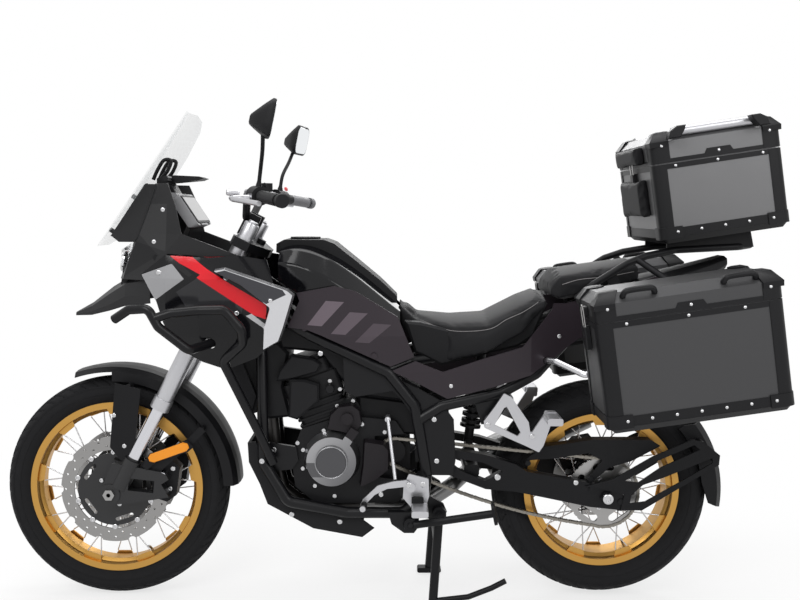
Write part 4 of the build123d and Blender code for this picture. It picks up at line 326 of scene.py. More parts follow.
def paintWheels():
    # dark carrier inside the bright disc; spokes bright outside the dark hub's radius
    w, disc = wheelLook, m["disc"]
    disc.patch(radiusFrom(disc, frontAxle) < w["carrierR"], *w["carrier"])
    for end, axle in (("front", frontAxle), ("rear", rearAxle)):
        hub = m[end + "Hub"]
        hub.patch(radiusFrom(hub, axle) > w["hubR"][end], *w["spoke"])


# lengths along the fork from its reference point, up the leg
forkLook = dict(
    at=(-621.0, 618.0), sliderTop=-45.0, slider=((0.62, 0.62, 0.65), 1.0, 0.12),
    footTop=-205.0, foot=((0.010, 0.010, 0.011), 0.1, 0.45),
)


def paintForks():
    # black feet, chrome sliders and satin outer tubes, split by the distance along the leg
    f, fork = forkLook, m["fork"]
    x, _, z = fork.place()
    along = (x - f["at"][0]) * sin(forkLean) + (z - f["at"][1]) * cos(forkLean)
    fork.patch(along < f["sliderTop"], *f["slider"]).patch(along < f["footTop"], *f["foot"])


wingField = dict(
    corners=[(-452, 980), (-423, 987), (-267, 934), (-258, 921), (-312, 896)],
    look=((0.060, 0.060, 0.066), None, 0.36)
)
roundCover = dict(
    at=(-143.0, 434.0), outerR=84.0, edgeR=84.5, cast=((0.012, 0.010, 0.012), 0.0, 0.42),
    # painted shade, lighter at upper left and darker towards lower right: slope per mm, share at the middle,
    # largest share
    shade=(0.07, 0.07, 0.075), slope=0.004, middle=0.34, most=0.8,
    field=[(-230, 431), (-143, 431), (-143, 389), (-230, 389)], fieldColor=(0.105, 0.105, 0.11),
    discR=44.5, disc=((0.085, 0.085, 0.09), None, 0.4),
)


def paintCovers():
    # silver wing with a dark metallic field; bright round engine cover with a disc and painted shade across
    # it, dark castings round it
    m["wing"].patch(m["wing"].panel(wingField["corners"]), *wingField["look"])
    c, cover = roundCover, m["engineCover"]
    x, _, z = cover.place()
    radius = radiusFrom(cover, c["at"])
    within = radius < c["edgeR"]
    cover.patch(radius > c["outerR"], *c["cast"])
    # painted shade: the cover's colour darkens towards its lower right, standing in for how light falls on it
    shade = ((x - c["at"][0] - (z - c["at"][1])) * c["slope"] + c["middle"]).high(0.0).low(c["most"])
    cover.tint(shade * within, c["shade"])
    cover.tint(cover.panel(c["field"]) * within, c["fieldColor"])
    cover.patch(radius < c["discR"], *c["disc"])


# display plane: origin and the direction out of it; the pale shell lies above shellDeep behind it
displayAt, displayOut = (-550.0, 0.0, 1151.0), (0.836, 0.0, 0.548)
smallLook = dict(
    shellDeep=-31.0, shellLow=1100.0, shellHigh=1199.0, shell=((0.33, 0.33, 0.34), None, 0.45),
    headerEnd=-60.0, header=((0.030, 0.028, 0.027), 0.6),
    stayAt=[(428, 722), (428, 764), (566, 730), (566, 690)], stay=((0.55, 0.55, 0.57), 1.0, 0.22),
    # grip line in plan: start (x, y), slope; levers lie leverAhead in front of it, outside leverFrom
    grip=(-372.0, 168.0, 0.4877), leverAhead=-27.0, leverFrom=252.0, lever=((0.50, 0.50, 0.52), 0.9, 0.3),
    paleFrom=300.0, pale=(0.20, 0.20, 0.21),
)


def paintSmallParts():
    # pale shell round the display, dark header pipes, bright pannier stay, bright levers and paler right grip
    s, dash = smallLook, m["instrument"]
    x, _, z = dash.place()
    deep = (x - displayAt[0]) * displayOut[0] + (z - displayAt[2]) * displayOut[2]
    dash.patch((deep > s["shellDeep"]) * (z < s["shellHigh"]) * (z > s["shellLow"]), *s["shell"])
    pipe, rack, hand = m["exhaust"], m["rack"], m["control"]
    pipe.patch(pipe.place()[0] < s["headerEnd"], *s["header"])
    rack.patch(rack.panel(s["stayAt"]), *s["stay"])
    x, y, _ = hand.place()
    out = y.maths("ABSOLUTE", y)
    startX, startY, slope = s["grip"]
    lever = (x - startX - (out - startY) * slope < s["leverAhead"]) * (out > s["leverFrom"])
    hand.patch(lever, *s["lever"])
    hand.tint((y > s["paleFrom"]) * (1 - lever), s["pale"])


makeFinishes()
paintWheels()
paintForks()
paintCovers()
paintSmallParts()

# finish: CAD nodes
finishNodes = dict(
    rubber="front_tyre rear_tyre", gold="front_rim rear_rim", frontHub="front_hub", rearHub="rear_hub",
    disc="front_discs", steel="rear_disc rear_sprocket front_axle", fork="left_fork right_fork",
    black="fork_yokes front_calipers handlebar radiator luggage_rack "
    "swingarm rear_shock rear_caliper centre_stand side_stand",
    guard="front_mudguard rear_hugger", control="hand_controls",
    plastic="mirrors tank_cover tail_unit skid_plate chain_guard", frame="main_frame crash_bars",
    castBlack="engine", engineCover="engine_covers", exhaust="exhaust", gloss="fuel_tank",
    sidePanel="tank_panels", shroud="shrouds", wing="wings", fairing="nose_fairing", lens="headlight",
    glass="windscreen", instrument="dashboard",
    leather="rider_seat passenger_seat lower_backrest upper_backrest", purple="tail_panels",
    caseGrey="top_case top_case_lid",
    caseDark="left_pannier right_pannier left_pannier_lid right_pannier_lid", rack="pannier_rack",
    satin="left_foot_plate right_foot_plate passenger_brackets", link="chain",
)
for finish, nodes in finishNodes.items():
    for node in nodes.split():
        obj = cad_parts[node]
        obj.data.materials.clear()
        obj.data.materials.append(m[finish].mat)
print("finishes on the frame")


# making meshes
def facesOut(mesh, merge=0.0):
    # all faces turned outwards, after points closer than merge (metres) become one
    work = bmesh.new()
    work.from_mesh(mesh)
    if merge:
        bmesh.ops.remove_doubles(work, verts=work.verts, dist=merge)
    bmesh.ops.recalc_face_normals(work, faces=work.faces)
    work.to_mesh(mesh)
    work.free()


def piece(name, shapes, finish, body, sharp=38):
    # shapes is a list of (vertices, blocks of faces); they become one mesh with outward faces
    verts, faces, count = [], [], 0
    for points, blocks in shapes:
        points = np.asarray(points, float).reshape(-1, 3)
        verts.append(points)
        for block in blocks:
            faces += (np.asarray(block) + count).tolist()
        count += len(points)
    mesh = bpy.data.meshes.new(name)
    mesh.from_pydata((np.concatenate(verts) * mm).tolist(), [], faces)
    mesh.materials.append(m[finish].mat)
    facesOut(mesh)
    mesh.shade_smooth()
    mesh.set_sharp_from_angle(angle=radians(sharp))
    obj = added(name, mesh)
    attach(obj, body)
    return obj


def gridFaces(rows, cols, closeRows=False, closeCols=False):
    # quads of a rows x cols grid of points, joined round where asked
    r = np.arange(rows if closeRows else rows - 1)[:, None]
    c = np.arange(cols if closeCols else cols - 1)[None, :]
    nextR, nextC = (r + 1) % rows, (c + 1) % cols
    corners = (r * cols + c, r * cols + nextC, nextR * cols + nextC, nextR * cols + c)
    return np.stack(np.broadcast_arrays(*corners), -1).reshape(-1, 4)


def capped(rows, cols):
    # a grid of rings, with its first and last ring filled
    first = np.arange(cols)
    return [gridFaces(rows, cols, False, True), [first, first + (rows - 1) * cols]]


def axes(direction):
    # a direction and two unit vectors square to it
    d = np.asarray(direction, float) / np.linalg.norm(direction)
    side = np.cross(d, (0, 0, 1.0)) if abs(d[2]) < 0.9 else np.cross(d, (1.0, 0, 0))
    side /= np.linalg.norm(side)
    return d, side, np.cross(d, side)


def turned(profile, centre, direction, steps=20):
    # pairs of radius and height turned about a direction, both ends filled
    d, u, v = axes(direction)
    a = np.linspace(0, 2 * pi, steps, endpoint=False)
    ring = np.cos(a)[:, None] * u + np.sin(a)[:, None] * v
    prof = np.asarray(profile, float)
    pts = np.asarray(centre, float) + prof[:, 0, None, None] * ring + prof[:, 1, None, None] * d
    return pts, capped(len(prof), steps)


def tube(points, radius, steps=10, closed=False):
    # a ring carried along a path: each normal is the one before it, less its part along the path
    p = np.asarray(points, float)
    t = np.roll(p, -1, 0) - np.roll(p, 1, 0) if closed else np.gradient(p, axis=0)
    t /= np.linalg.norm(t, axis=1)[:, None]
    n = np.zeros_like(p)
    n[0] = axes(t[0])[1]
    for i in range(1, len(p)):
        k = n[i - 1] - t[i] * np.dot(n[i - 1], t[i])
        n[i] = k / np.linalg.norm(k)
    b = np.cross(t, n)
    a = np.linspace(0, 2 * pi, steps, endpoint=False)
    r = np.broadcast_to(np.asarray(radius, float), (len(p),))[:, None, None]
    pts = p[:, None] + r * (np.cos(a)[None, :, None] * n[:, None] + np.sin(a)[None, :, None] * b[:, None])
    return pts, [gridFaces(len(p), steps, True, True)] if closed else capped(len(p), steps)


def curveThrough(points, count=40):
    # Catmull-Rom curve through the points, even by parameter
    p = np.asarray(points, float)
    q = np.vstack([2 * p[0] - p[1], p, 2 * p[-1] - p[-2]])
    s = np.linspace(0, len(p) - 1 - 1e-9, count)
    i = s.astype(int)
    f = (s - i)[:, None]
    a, b, c, d = q[i], q[i + 1], q[i + 2], q[i + 3]
    return 0.5 * (2 * b + (c - a) * f + (2 * a - 5 * b + 4 * c - d) * f**2 + (3 * b - a - 3 * c + d) * f**3)


def inset(o, d):
    # each edge of a closed outline moved inwards by d, corners where the moved edges meet
    o = np.asarray(o, float)
    nxt = np.roll(o, -1, 0)
    turn = 1 if np.sum(o[:, 0] * nxt[:, 1] - nxt[:, 0] * o[:, 1]) > 0 else -1
    e = (nxt - o) / np.linalg.norm(nxt - o, axis=1)[:, None]
    n = np.c_[-e[:, 1], e[:, 0]] * turn
    mitre = n + np.roll(n, 1, 0)
    return o + mitre / np.maximum(np.sum(mitre * n, axis=1), 0.35)[:, None] * d


def rings(loops):
    # closed rings of equal count joined in a row, both ends filled
    pts = np.stack([np.asarray(q, float) for q in loops])
    return pts, capped(len(pts), pts.shape[1])


def sideRings(rows):
    # outlines in side view, each at its own breadth, joined in a row
    return rings([np.c_[q[:, 0], np.full(len(q), y), q[:, 1]] for q, y in rows])


def slab(outline, y0, y1, bevel=0.0):
    # an outline in side view given thickness from y0 out to y1, its y1 edge drawn in by the bevel
    o = np.asarray(outline, float)
    step = bevel if y1 > y0 else -bevel
    return sideRings([(o, y0), (o, y1 - step), (inset(o, bevel), y1)] if bevel else [(o, y0), (o, y1)])


def slabBoth(outline, half, bevel):
    # an outline in side view thickened evenly to both sides, both edges drawn in by the bevel
    o = np.asarray(outline, float)
    small = inset(o, bevel)
    return sideRings([(small, half), (o, half - bevel), (o, bevel - half), (small, -half)])


def onPlane(outline, origin, across, up, out, deep, bevel=0.0):
    # an outline in a plane's own two directions, given depth along a third
    o = np.asarray(outline, float)
    rows = [(o, 0.0), (o, deep - bevel), (inset(o, bevel), deep)] if bevel else [(o, 0.0), (o, deep)]
    base, a, u, n = (np.asarray(v, float) for v in (origin, across, up, out))
    return rings([base + q[:, :1] * a + q[:, 1:] * u + d * n for q, d in rows])


def roundedBox(wide, high, r, steps=5):
    # outline of a rectangle with round corners about its middle
    a = np.linspace(0, pi / 2, steps)
    parts = []
    for k, (sx, sy) in enumerate(((1, 1), (-1, 1), (-1, -1), (1, -1))):
        t = a + k * pi / 2
        parts.append(np.c_[sx * (wide / 2 - r) + r * np.cos(t), sy * (high / 2 - r) + r * np.sin(t)])
    return np.concatenate(parts)


def meshPoints(mesh):
    # a mesh's points as one array, in metres
    points = np.zeros(len(mesh.vertices) * 3)
    mesh.vertices.foreach_get("co", points)
    return points.reshape(-1, 3)


def searchTree(meshes, corners):
    # a search tree in millimetres over meshes whose faces all have so many corners
    verts, faces, count = [], [], 0
    for mesh in meshes:
        ids = np.zeros(len(mesh.loops), np.int32)
        mesh.loops.foreach_get("vertex_index", ids)
        verts.append(meshPoints(mesh) * 1000)
        faces.append(ids.reshape(-1, corners) + count)
        count += len(mesh.vertices)
    return BVHTree.FromPolygons(np.concatenate(verts).tolist(), np.concatenate(faces).tolist())


farOut = 700.0  # rays towards the machine start here, clear of its widest part


def sideHit(tree, x, z, side):
    # the outermost point of a surface met from one side
    return tree.ray_cast(Vector((x, side * farOut, z)), Vector((0, -side, 0)))[0]


# head profiles as shares of the radius and of the height
boltHead = ((1.0, 0.0), (1.0, 0.8), (0.84, 1.0), (0.5, 1.0), (0.46, 0.5))
rivetHead = ((1.0, 0.0), (0.94, 0.45), (0.66, 0.85), (0.25, 1.0))
sunk = dict(foot=0.6, lift=0.4)


def head(profile, centre, direction, radius, height, steps=14):
    # a bolt or rivet head, its foot sunk a little under the surface
    d = np.asarray(direction, float) / np.linalg.norm(direction)
    prof = [(r * radius, h * height + sunk["lift"]) for r, h in profile]
    prof = [(prof[0][0], -sunk["foot"])] + prof
    return turned(prof, np.asarray(centre, float) - d * sunk["lift"], d, steps)


def boltsOn(name, body, nodes, places, sides=(-1, 1)):
    # places are (x, z, radius, height); each is set on the first surface met from the side
    tree = searchTree([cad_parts[node].data for node in nodes], 3)
    shapes = []
    for side in sides:
        for x, z, radius, height in places:
            at = sideHit(tree, x, z, side)
            if at:
                shapes.append(head(boltHead, at, (0, side, 0), radius, height))
    piece(name, shapes, "bolt", body)


# tyres with road tread
tyres = dict(
    front=dict(axle=frontAxle, top=329.3, half=55.0, seat=241.3, rim=43.0, blocks=54, body="front_wheel"),
    rear=dict(axle=rearAxle, top=320.9, half=75.0, seat=215.9, rim=59.0, blocks=46, body="rear_wheel"),
)
tread = dict(
    depth=4.2, across=49, around=10, wall=11, beadIn=4.0, beadWide=10.0, beadUp=0.4, wallUp=16.0,
    # shares of the half breadth and of the wall's height
    shoulder=0.42, span=0.955, widest=0.62,
    # grooves: share of a block, curl and its power, clear middle, two rings as (place, half width), last edge
    share=0.22, curl=1.5, power=1.4, clear=0.2, rings=((0.17, 0.035), (0.56, 0.03)), edge=0.985,
    bandRows=(5, 9), bandR=1.3, bandSteps=120,
)


def tyreSection(t):
    # bead, bowed wall, shoulder and round crown as half-breadth and radius, from left bead to right bead
    w = tread
    shoulder, span = t["top"] - t["half"] * w["shoulder"], t["half"] * w["span"]
    over = t["seat"] + w["wallUp"]
    k = np.linspace(0, 1, w["wall"])[:-1]
    bead = t["rim"] - w["beadIn"]
    wallY = bead + (t["half"] - bead) * np.sin(np.minimum(k / w["widest"], 1) * pi / 2)
    wallY -= (t["half"] - span) * np.maximum((k - w["widest"]) / (1 - w["widest"]), 0) ** 2
    wallR = over + (shoulder - over) * k
    bend = (span**2 + (t["top"] - shoulder) ** 2) / (2 * (t["top"] - shoulder))
    crownY = np.linspace(-span, span, w["across"])
    crownR = t["top"] - bend + np.sqrt(bend**2 - crownY**2)
    beadY, beadR = np.array([bead - w["beadWide"], bead]), np.full(2, t["seat"] + w["beadUp"])
    y = np.r_[-beadY, -wallY, crownY, wallY[::-1], beadY[::-1]]
    r = np.r_[beadR, wallR, crownR, wallR[::-1], beadR]
    return y, r, y / span, np.r_[np.zeros(2 + len(k)), np.ones(len(crownY)), np.zeros(2 + len(k))] > 0


def makeTyre(name, t):
    # the section turned about the axle; the radius drops in slanted grooves and two rings a side
    w, (ax, az) = tread, t["axle"]
    y, r, across, crown = tyreSection(t)
    around = t["blocks"] * w["around"]
    a = np.linspace(0, 2 * pi, around, endpoint=False)[:, None]
    out = np.abs(across)[None, :]
    turns = a * t["blocks"] / (2 * pi)
    slant = (turns + 0.5 * (across[None, :] > 0) + w["curl"] * out ** w["power"]) % 1.0 < w["share"]
    groove = slant & (out > w["clear"])
    for place, half in w["rings"]:
        groove = groove | (np.abs(out - place) < half)
    radius = r[None, :] - np.where(groove & crown[None, :] & (out < w["edge"]), w["depth"], 0.0)
    wide = np.broadcast_to(y, radius.shape)
    points = np.stack([ax + radius * np.cos(a), wide, az + radius * np.sin(a)], -1)
    shape = (points, [gridFaces(around, len(y), True, True)])
    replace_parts(piece(name + "_tread", [shape], "rubber", t["body"], 30), name)
    # two raised bands on each wall
    b = np.linspace(0, 2 * pi, w["bandSteps"], endpoint=False)
    bands = []
    for side in (-1, 1):
        for k in w["bandRows"]:
            i = len(y) - 3 - k if side > 0 else 2 + k
            path = np.c_[ax + r[i] * np.cos(b), np.full(len(b), y[i]), az + r[i] * np.sin(b)]
            bands.append(tube(path, w["bandR"], 6, True))
    piece(name + "_bands", bands, "rubber", t["body"])


for key, t in tyres.items():
    makeTyre(key + "_tyre", t)
print("tyres")


# bolt rings as (count, radius, first angle, side, breadth, bolt radius, bolt height), and the valves
wheelTrim = dict(
    front=[
        (10, 112, 18, -1, 66.6, 7.5, 4.5), (5, 46, 0, -1, 66.6, 6.5, 4.5),
        (10, 112, 18, 1, 66.6, 7.5, 4.5), (5, 46, 0, 1, 66.6, 6.5, 4.5),
    ],
    rear=[(5, 60.0, 36, 1, 88.4, 6, 4), (5, 46.0, 36, -1, 91.4, 6.5, 5)],
    # valve stem: angle, radius of the rim's seat, path as (inwards, aside), thickness
    valveTurn=-66, valveSeat=dict(front=236.0, rear=210.0), valve=((2, 0), (16, 0), (26, -8), (30, -18)),
    stemR=3.6,
)


def makeWheelTrim():
    # bolts evenly round the discs, carriers and sprocket, and a bent valve stem through each rim
    w = wheelTrim
    ends = (("front", frontAxle, "front_disc_bolts"), ("rear", rearAxle, "rear_hub_bolts"))
    for end, (ax, az), name in ends:
        shapes = []
        for count, radius, first, side, y, big, high in w[end]:
            for k in range(count):
                a = radians(first + 360 * k / count)
                at = (ax + radius * cos(a), side * y, az + radius * sin(a))
                shapes.append(head(boltHead, at, (0, side, 0), big, high))
        piece(name, shapes, "bolt", end + "_wheel")
    for end, (ax, az), _ in ends:
        a, seat = radians(w["valveTurn"]), w["valveSeat"][end]
        path = [(seat - inwards, aside) for inwards, aside in w["valve"]]
        path = curveThrough([(ax + r * cos(a), aside, az + r * sin(a)) for r, aside in path], 14)
        stem = tube(path, w["stemR"], 8)
        piece(end + "_wheel_valve", [stem], "steel", end + "_wheel")


makeWheelTrim()


# chain: roller links along the run of the CAD chain
chainRun = dict(
    y=-88.0, front=(36.0, 452.0), frontR=38.0, rear=rearAxle, rearR=101.0, sag=26.0, pitch=15.875,
    # plates: half length between the ends, end radius, share left at the waist, inner and outer place,
    # half thickness
    half=8.0, end=6.8, waist=0.46, inner=4.4, outer=6.6, plate=0.9,
    roller=((4.6, -3.4), (4.6, 3.4)), pin=((2.6, -8.4), (2.6, 8.4)),
)


def chainPath(c, count):
    # top straight run, arc round the rear sprocket, sagging lower run, arc round the front one; even steps
    f, g = np.array(c["front"]), np.array(c["rear"])
    u = (g - f) / np.linalg.norm(g - f)
    lean = (c["rearR"] - c["frontR"]) / np.linalg.norm(g - f)
    normals = [np.array((-u[1], u[0])) * s * (1 - lean**2) ** 0.5 - u * lean for s in (1, -1)]
    (a0, a1), (b0, b1) = [(f + n * c["frontR"], g + n * c["rearR"]) for n in normals]
    t = np.linspace(0, 1, 200)[:, None]

    def arc(centre, radius, start, end):
        # clockwise about the centre, seen with X to the right and Z up
        s, e = (atan2(*(p - centre)[::-1]) for p in (start, end))
        e = e - 2 * pi if e > s else e
        k = s + (e - s) * t
        return centre + radius * np.c_[np.cos(k), np.sin(k)]

    low = b1 + (b0 - b1) * t - np.c_[0 * t, 4 * c["sag"] * t * (1 - t)]
    line = np.vstack([a0 + (a1 - a0) * t, arc(g, c["rearR"], a1, b1), low, arc(f, c["frontR"], b0, a0)])
    step = np.r_[0, np.cumsum(np.linalg.norm(np.diff(line, axis=0), axis=1))]
    s = np.linspace(0, step[-1], count, endpoint=False)
    return np.c_[np.interp(s, step, line[:, 0]), np.interp(s, step, line[:, 1])], step[-1]


def makeChain():
    # each link is a pair of waisted plates, outer and inner in turn, with a roller and a pin at each joint
    c = chainRun
    count = int(round(chainPath(c, 10)[1] / c["pitch"] / 2)) * 2
    joints = chainPath(c, count)[0]
    a = np.linspace(0, 2 * pi, 16, endpoint=False)
    waist = c["waist"] + (1 - c["waist"]) * np.abs(np.cos(a))
    plate = np.c_[np.sign(np.cos(a)) * c["half"] + c["end"] * np.cos(a), c["end"] * np.sin(a) * waist]
    shapes = []
    for k in range(count):
        p, q = joints[k], joints[(k + 1) % count]
        u = (q - p) / np.linalg.norm(q - p)
        n = np.array((-u[1], u[0]))
        outline = (p + q) / 2 + plate[:, :1] * u + plate[:, 1:] * n
        for side in (-1, 1):
            face = c["y"] + side * (c["outer"] if k % 2 else c["inner"])
            shapes.append(slab(outline, face - c["plate"], face + c["plate"]))
        for profile, steps in ((c["roller"], 10), (c["pin"], 8)):
            shapes.append(turned(profile, (p[0], c["y"], p[1]), (0, 1, 0), steps))
    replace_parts(piece("chain_links", shapes, "link", "chassis"), "chain")


makeChain()
print("wheels and chain")


# luggage: corner posts, edge bands, brackets, rivets, handles and latches
cases = dict(
    pannier=dict(
        corner=(568.0, 617.0), tilt=8.3, length=455.0, low=305.0, high=540.0, split=262.0, roof=331.0,
        slope=24.0, bottomRivets=7, lowerRivets=(70, 222, 360), notch=(200, 262),
    ),
    top=dict(
        corner=(772.0, 1074.0), tilt=8.7, length=352.0, low=-205.0, high=205.0, split=203.0, roof=286.0,
        slope=22.0, bottomRivets=5, lowerRivets=(60, 176, 300), notch=(150, 214),
    ),
)
# lengths over the case's walls
trim = dict(
    thick=2.6, strap=0.7, foot=0.2, lap=1.0, round=18.0, bandLow=0.5, bandFoot=26.0, bandHigh=15.0,
    bevelDeep=15.0, bevelIn=16.0, lidBand=(2.0, 13.0),
    # corner posts and plates: reach along, reach across, for the plate its lowest and highest edge
    post=(36.0, 36.0), lidPost=(48.0, 44.0), plate=(58, 50, -3, 30), plateThick=4.8,
    # rivets: radius, height, steps, then where they sit and how many strap thicknesses they are lifted
    rivet=(4.6, 3.0, 12), rivetEnd=44.0, rivetLow=15.0, rivetSplit=8.0, rivetLid=28.0, rivetEdge=12.0,
    rivetNotch=17.0, onPlate=1.9, onPost=1.0,
    notch=(14.0, 2.0, 26.0), notchThick=1.95,
    # caps on the lid's corners: out from the wall, shares of the slope drawn in and climbed, lift, reach
    cap=((4, 0, 0, -14, 46), (5, 0, 0, 0, 46), (5, 0.9, 1, 3, 58), (-2, 1, 1, 6, 50)), capCut=(8, 20),
    # share of the slope at its middle, and its normal outwards and up
    middle=0.5, normal=(0.6, 0.8),
)


def caseAt(c, side, along, across, high):
    # a case's own directions (along it, out from the middle of the machine, up its wall) to the frame's
    s, k = sin(radians(c["tilt"])), cos(radians(c["tilt"]))
    along, across, high = np.broadcast_arrays(*(np.asarray(v, float) for v in (along, across, high)))
    x = c["corner"][0] + k * along - s * high
    z = c["corner"][1] + s * along + k * high
    return np.stack([x, side * across, z], -1)


def planLoop(c, grow):
    # the case's outline from above: a rectangle with round corners, grown outwards
    wide, deep = c["length"], c["high"] - c["low"]
    o = roundedBox(wide + 2 * grow, deep + 2 * grow, trim["round"] + grow, 6)
    return o + ((wide / 2), (c["high"] + c["low"]) / 2)


def bandRound(c, side, low, high, thick, narrowLow=0.0):
    # a strap all round the case between two heights, drawn in at its lower edge where asked
    rows = []
    foot = trim["foot"]
    section = ((foot, low, narrowLow), (thick, low, narrowLow), (thick, high, 0), (foot, high, 0))
    for grow, z, narrow in section:
        o = planLoop(c, grow - narrow)
        rows.append(caseAt(c, side, o[:, 0], o[:, 1], z))
    return np.stack(rows), [gridFaces(4, len(rows[0]), True, True)]


def cornerWrap(c, side, endX, endY, reachX, reachY, low, high, thick):
    # a plate bent round one upright corner of the case: two straight ends and a quarter turn
    r, foot = trim["round"], trim["foot"]
    a = np.linspace(0, pi / 2, 6)
    cx = (c["length"] - r) if endX else r
    cy = (c["high"] - r) if endY else c["low"] + r
    sx, sy = (1 if endX else -1), (1 if endY else -1)
    loops = []
    for grow, z in ((foot, low), (thick, low), (thick, high), (foot, high)):
        x = np.r_[cx - sx * (reachX - r), cx + sx * (r + grow) * np.sin(a), cx + sx * (r + grow)]
        y = np.r_[cy + sy * (r + grow), cy + sy * (r + grow) * np.cos(a), cy - sy * (reachY - r)]
        loops.append(caseAt(c, side, x, y, z))
    points = np.stack(loops)
    ends = np.arange(4) * points.shape[1]
    return points, [gridFaces(4, points.shape[1], True, False), [ends, ends + points.shape[1] - 1]]


def lidPad(c, side, endX, endY):
    # a moulded cap on one top corner of the lid: a five-sided ring on the wall, drawn in to the roof
    t, edge, (near, far) = c["slope"], c["roof"] - c["slope"], trim["capCut"]
    loops = []
    for out, drawn, climbed, lift, reach in trim["cap"]:
        first = t * drawn - out
        u = np.array([first, reach, reach + near, t * drawn + far, first])
        v = np.array([first, first, t * drawn + far, reach + near, reach])
        x = c["length"] - u if endX else u
        y = c["high"] - v if endY else c["low"] + v
        loops.append(caseAt(c, side, x, y, edge + t * climbed + lift))
    return rings(loops)


def directions(c, side):
    # unit vectors along a case, outwards and up its wall
    zero = caseAt(c, side, 0, 0, 0)
    return [caseAt(c, side, *step) - zero for step in ((1, 0, 0), (0, 1, 0), (0, 0, 1))]


def sideRivets(c, side, face, spots):
    # domed rivets on a side wall; spots are (along, height, lift in strap thicknesses)
    out = directions(c, side)[1] * face
    wall = c["high"] if face > 0 else c["low"]
    places = [caseAt(c, side, a, wall, h) + out * trim["thick"] * lift for a, h, lift in spots]
    return [head(rivetHead, at, out, *trim["rivet"]) for at in places]


# latch plates as width, height, corner, shift up from the split, depth, bevel; wire loop half width and ends
latch = dict(
    lever=(34, 62, 6, -46, 13, 3), keeper=(40, 26, 5, 22, 10, 2.5), off=2.0,
    loop=((-30, 11, 13), (30, 12, 13), (30, 12, -13), (-30, 11, -13)), wire=2.2,
)


def endLatch(c, side, endX, across):
    # over-centre latch on an end wall: keeper on the lid, lever on the case, wire loop between
    along, _, up = directions(c, side)
    out, wide = along * (1 if endX else -1), np.array((0, 1.0, 0))
    base = caseAt(c, side, c["length"] if endX else 0.0, across, c["split"])
    plates = []
    for key in ("lever", "keeper"):
        *box, shift, deep, bevel = latch[key]
        at = base + up * shift + out * latch["off"]
        plates.append(onPlane(roundedBox(*box), at, wide, up, out, deep, bevel))
    loop = [base + up * u + out * o + wide * w for u, o, w in latch["loop"]]
    return *plates, tube(curveThrough(loop, 26), latch["wire"], 6)


def edgePoint(c, side, face, a, d):
    # a point over the middle of the sloped top edge, standing off it by d along its normal
    wall, drop, (out, up) = (c["high"] if face > 0 else c["low"]), c["slope"] * trim["middle"], trim["normal"]
    return caseAt(c, side, a, wall - face * drop + face * d * out, c["roof"] - drop + d * up)


grip = dict(lift=19.0, thick=7.5, path=((0, 0), (5, 0.75), (18, 1)), pannier=((70, 150), (318, 398)))


def gripLoop(c, side, first, last):
    # a strap loop standing square to the sloped top edge
    g = grip
    ends = [(first + step, share) for step, share in g["path"]]
    ends += [(last - step, share) for step, share in g["path"][::-1]]
    path = [edgePoint(c, side, 1, a, g["lift"] * share) for a, share in ends]
    return tube(curveThrough(path, 22), g["thick"], 8)


def dressCase(name, c, side, body, lidBody, faces=(1,)):
    # straps, posts, corner plates and caps, rivets on the side walls named in faces, and a latch at each end
    w = trim
    th, strap, lap, edge, split = w["thick"], w["strap"], w["lap"], c["roof"] - c["slope"], c["split"]
    along, across, up = directions(c, side)
    lidLow, lidHigh = (split + v for v in w["lidBand"])
    base = [
        bandRound(c, side, w["bandLow"], w["bandFoot"], th * strap),
        bandRound(c, side, -w["bevelDeep"], w["bandLow"] + lap, th, w["bevelIn"]),
        bandRound(c, side, split - w["bandHigh"], split - lap, th * strap),
    ]
    lid = [bandRound(c, side, lidLow, lidHigh, th * strap)]
    rivets, lidRivets, metal = [], [], []
    for endX in (0, 1):
        for endY in (0, 1):
            base.append(cornerWrap(c, side, endX, endY, *w["post"], w["bandLow"], split - lap, th))
            base.append(cornerWrap(c, side, endX, endY, *w["plate"], w["plateThick"]))
            lid.append(cornerWrap(c, side, endX, endY, *w["lidPost"], lidLow, edge, th))
            lid.append(lidPad(c, side, endX, endY))
    for face in faces:
        # a row near the bottom, its ends on the corner plates, one under the split, and the lid's
        first, low, count = w["rivetEnd"], w["rivetLow"], c["bottomRivets"]
        bottom = np.linspace(first, c["length"] - first, count)
        spots = [(a, low, strap if 0 < k < count - 1 else w["onPlate"]) for k, a in enumerate(bottom)]
        spots += [(a, split - w["rivetSplit"], strap) for a in c["lowerRivets"]]
        rivets += sideRivets(c, side, face, spots)
        ends, high = (w["rivetLid"], c["length"] - w["rivetLid"]), edge - w["rivetEdge"]
        spots = [(a, high, w["onPost"]) for a in ends]
        spots.append((sum(c["notch"]) / 2, split + w["rivetNotch"], strap))
        lidRivets += sideRivets(c, side, face, spots)
        # raised middle of the lid's strap
        (first, second), (wider, low, high) = c["notch"], w["notch"]
        outline = [(first - wider, low), (second + wider, low), (second, high), (first, high)]
        wall = caseAt(c, side, 0, c["high"] if face > 0 else c["low"], split)
        lid.append(onPlane(outline, wall, along, up, across * face, w["notchThick"], 0.5))
    for endX in (0, 1):
        lever, keeper, loop = endLatch(c, side, endX, (c["high"] + c["low"]) / 2)
        base.append(lever)
        lid.append(keeper)
        metal.append(loop)
    piece(name + "_trim", base, "caseTrim", body)
    piece(name + "_rivets", rivets, "bolt", body)
    piece(name + "_lid_trim", lid, "caseTrim", lidBody)
    piece(name + "_lid_rivets", lidRivets, "bolt", lidBody)
    piece(name + "_latch_loops", metal, "steel", body)


# rails on the top case's lid: stand-off, radius, points along
# their end blocks: first and last length, outline, depth
rails = dict(
    off=14.0, r=12.5, along=(60, 120, 200, 290), blocks=((38, 88), (314, 264)), blockOut=26.0, blockDeep=34.0,
    # (from first or last end, step towards the other, height)
    outline=((0, 0, -8), (0, 6, 12), (0, 26, 24), (1, 0, 24), (1, -4, 12), (1, -18, -8)),
)


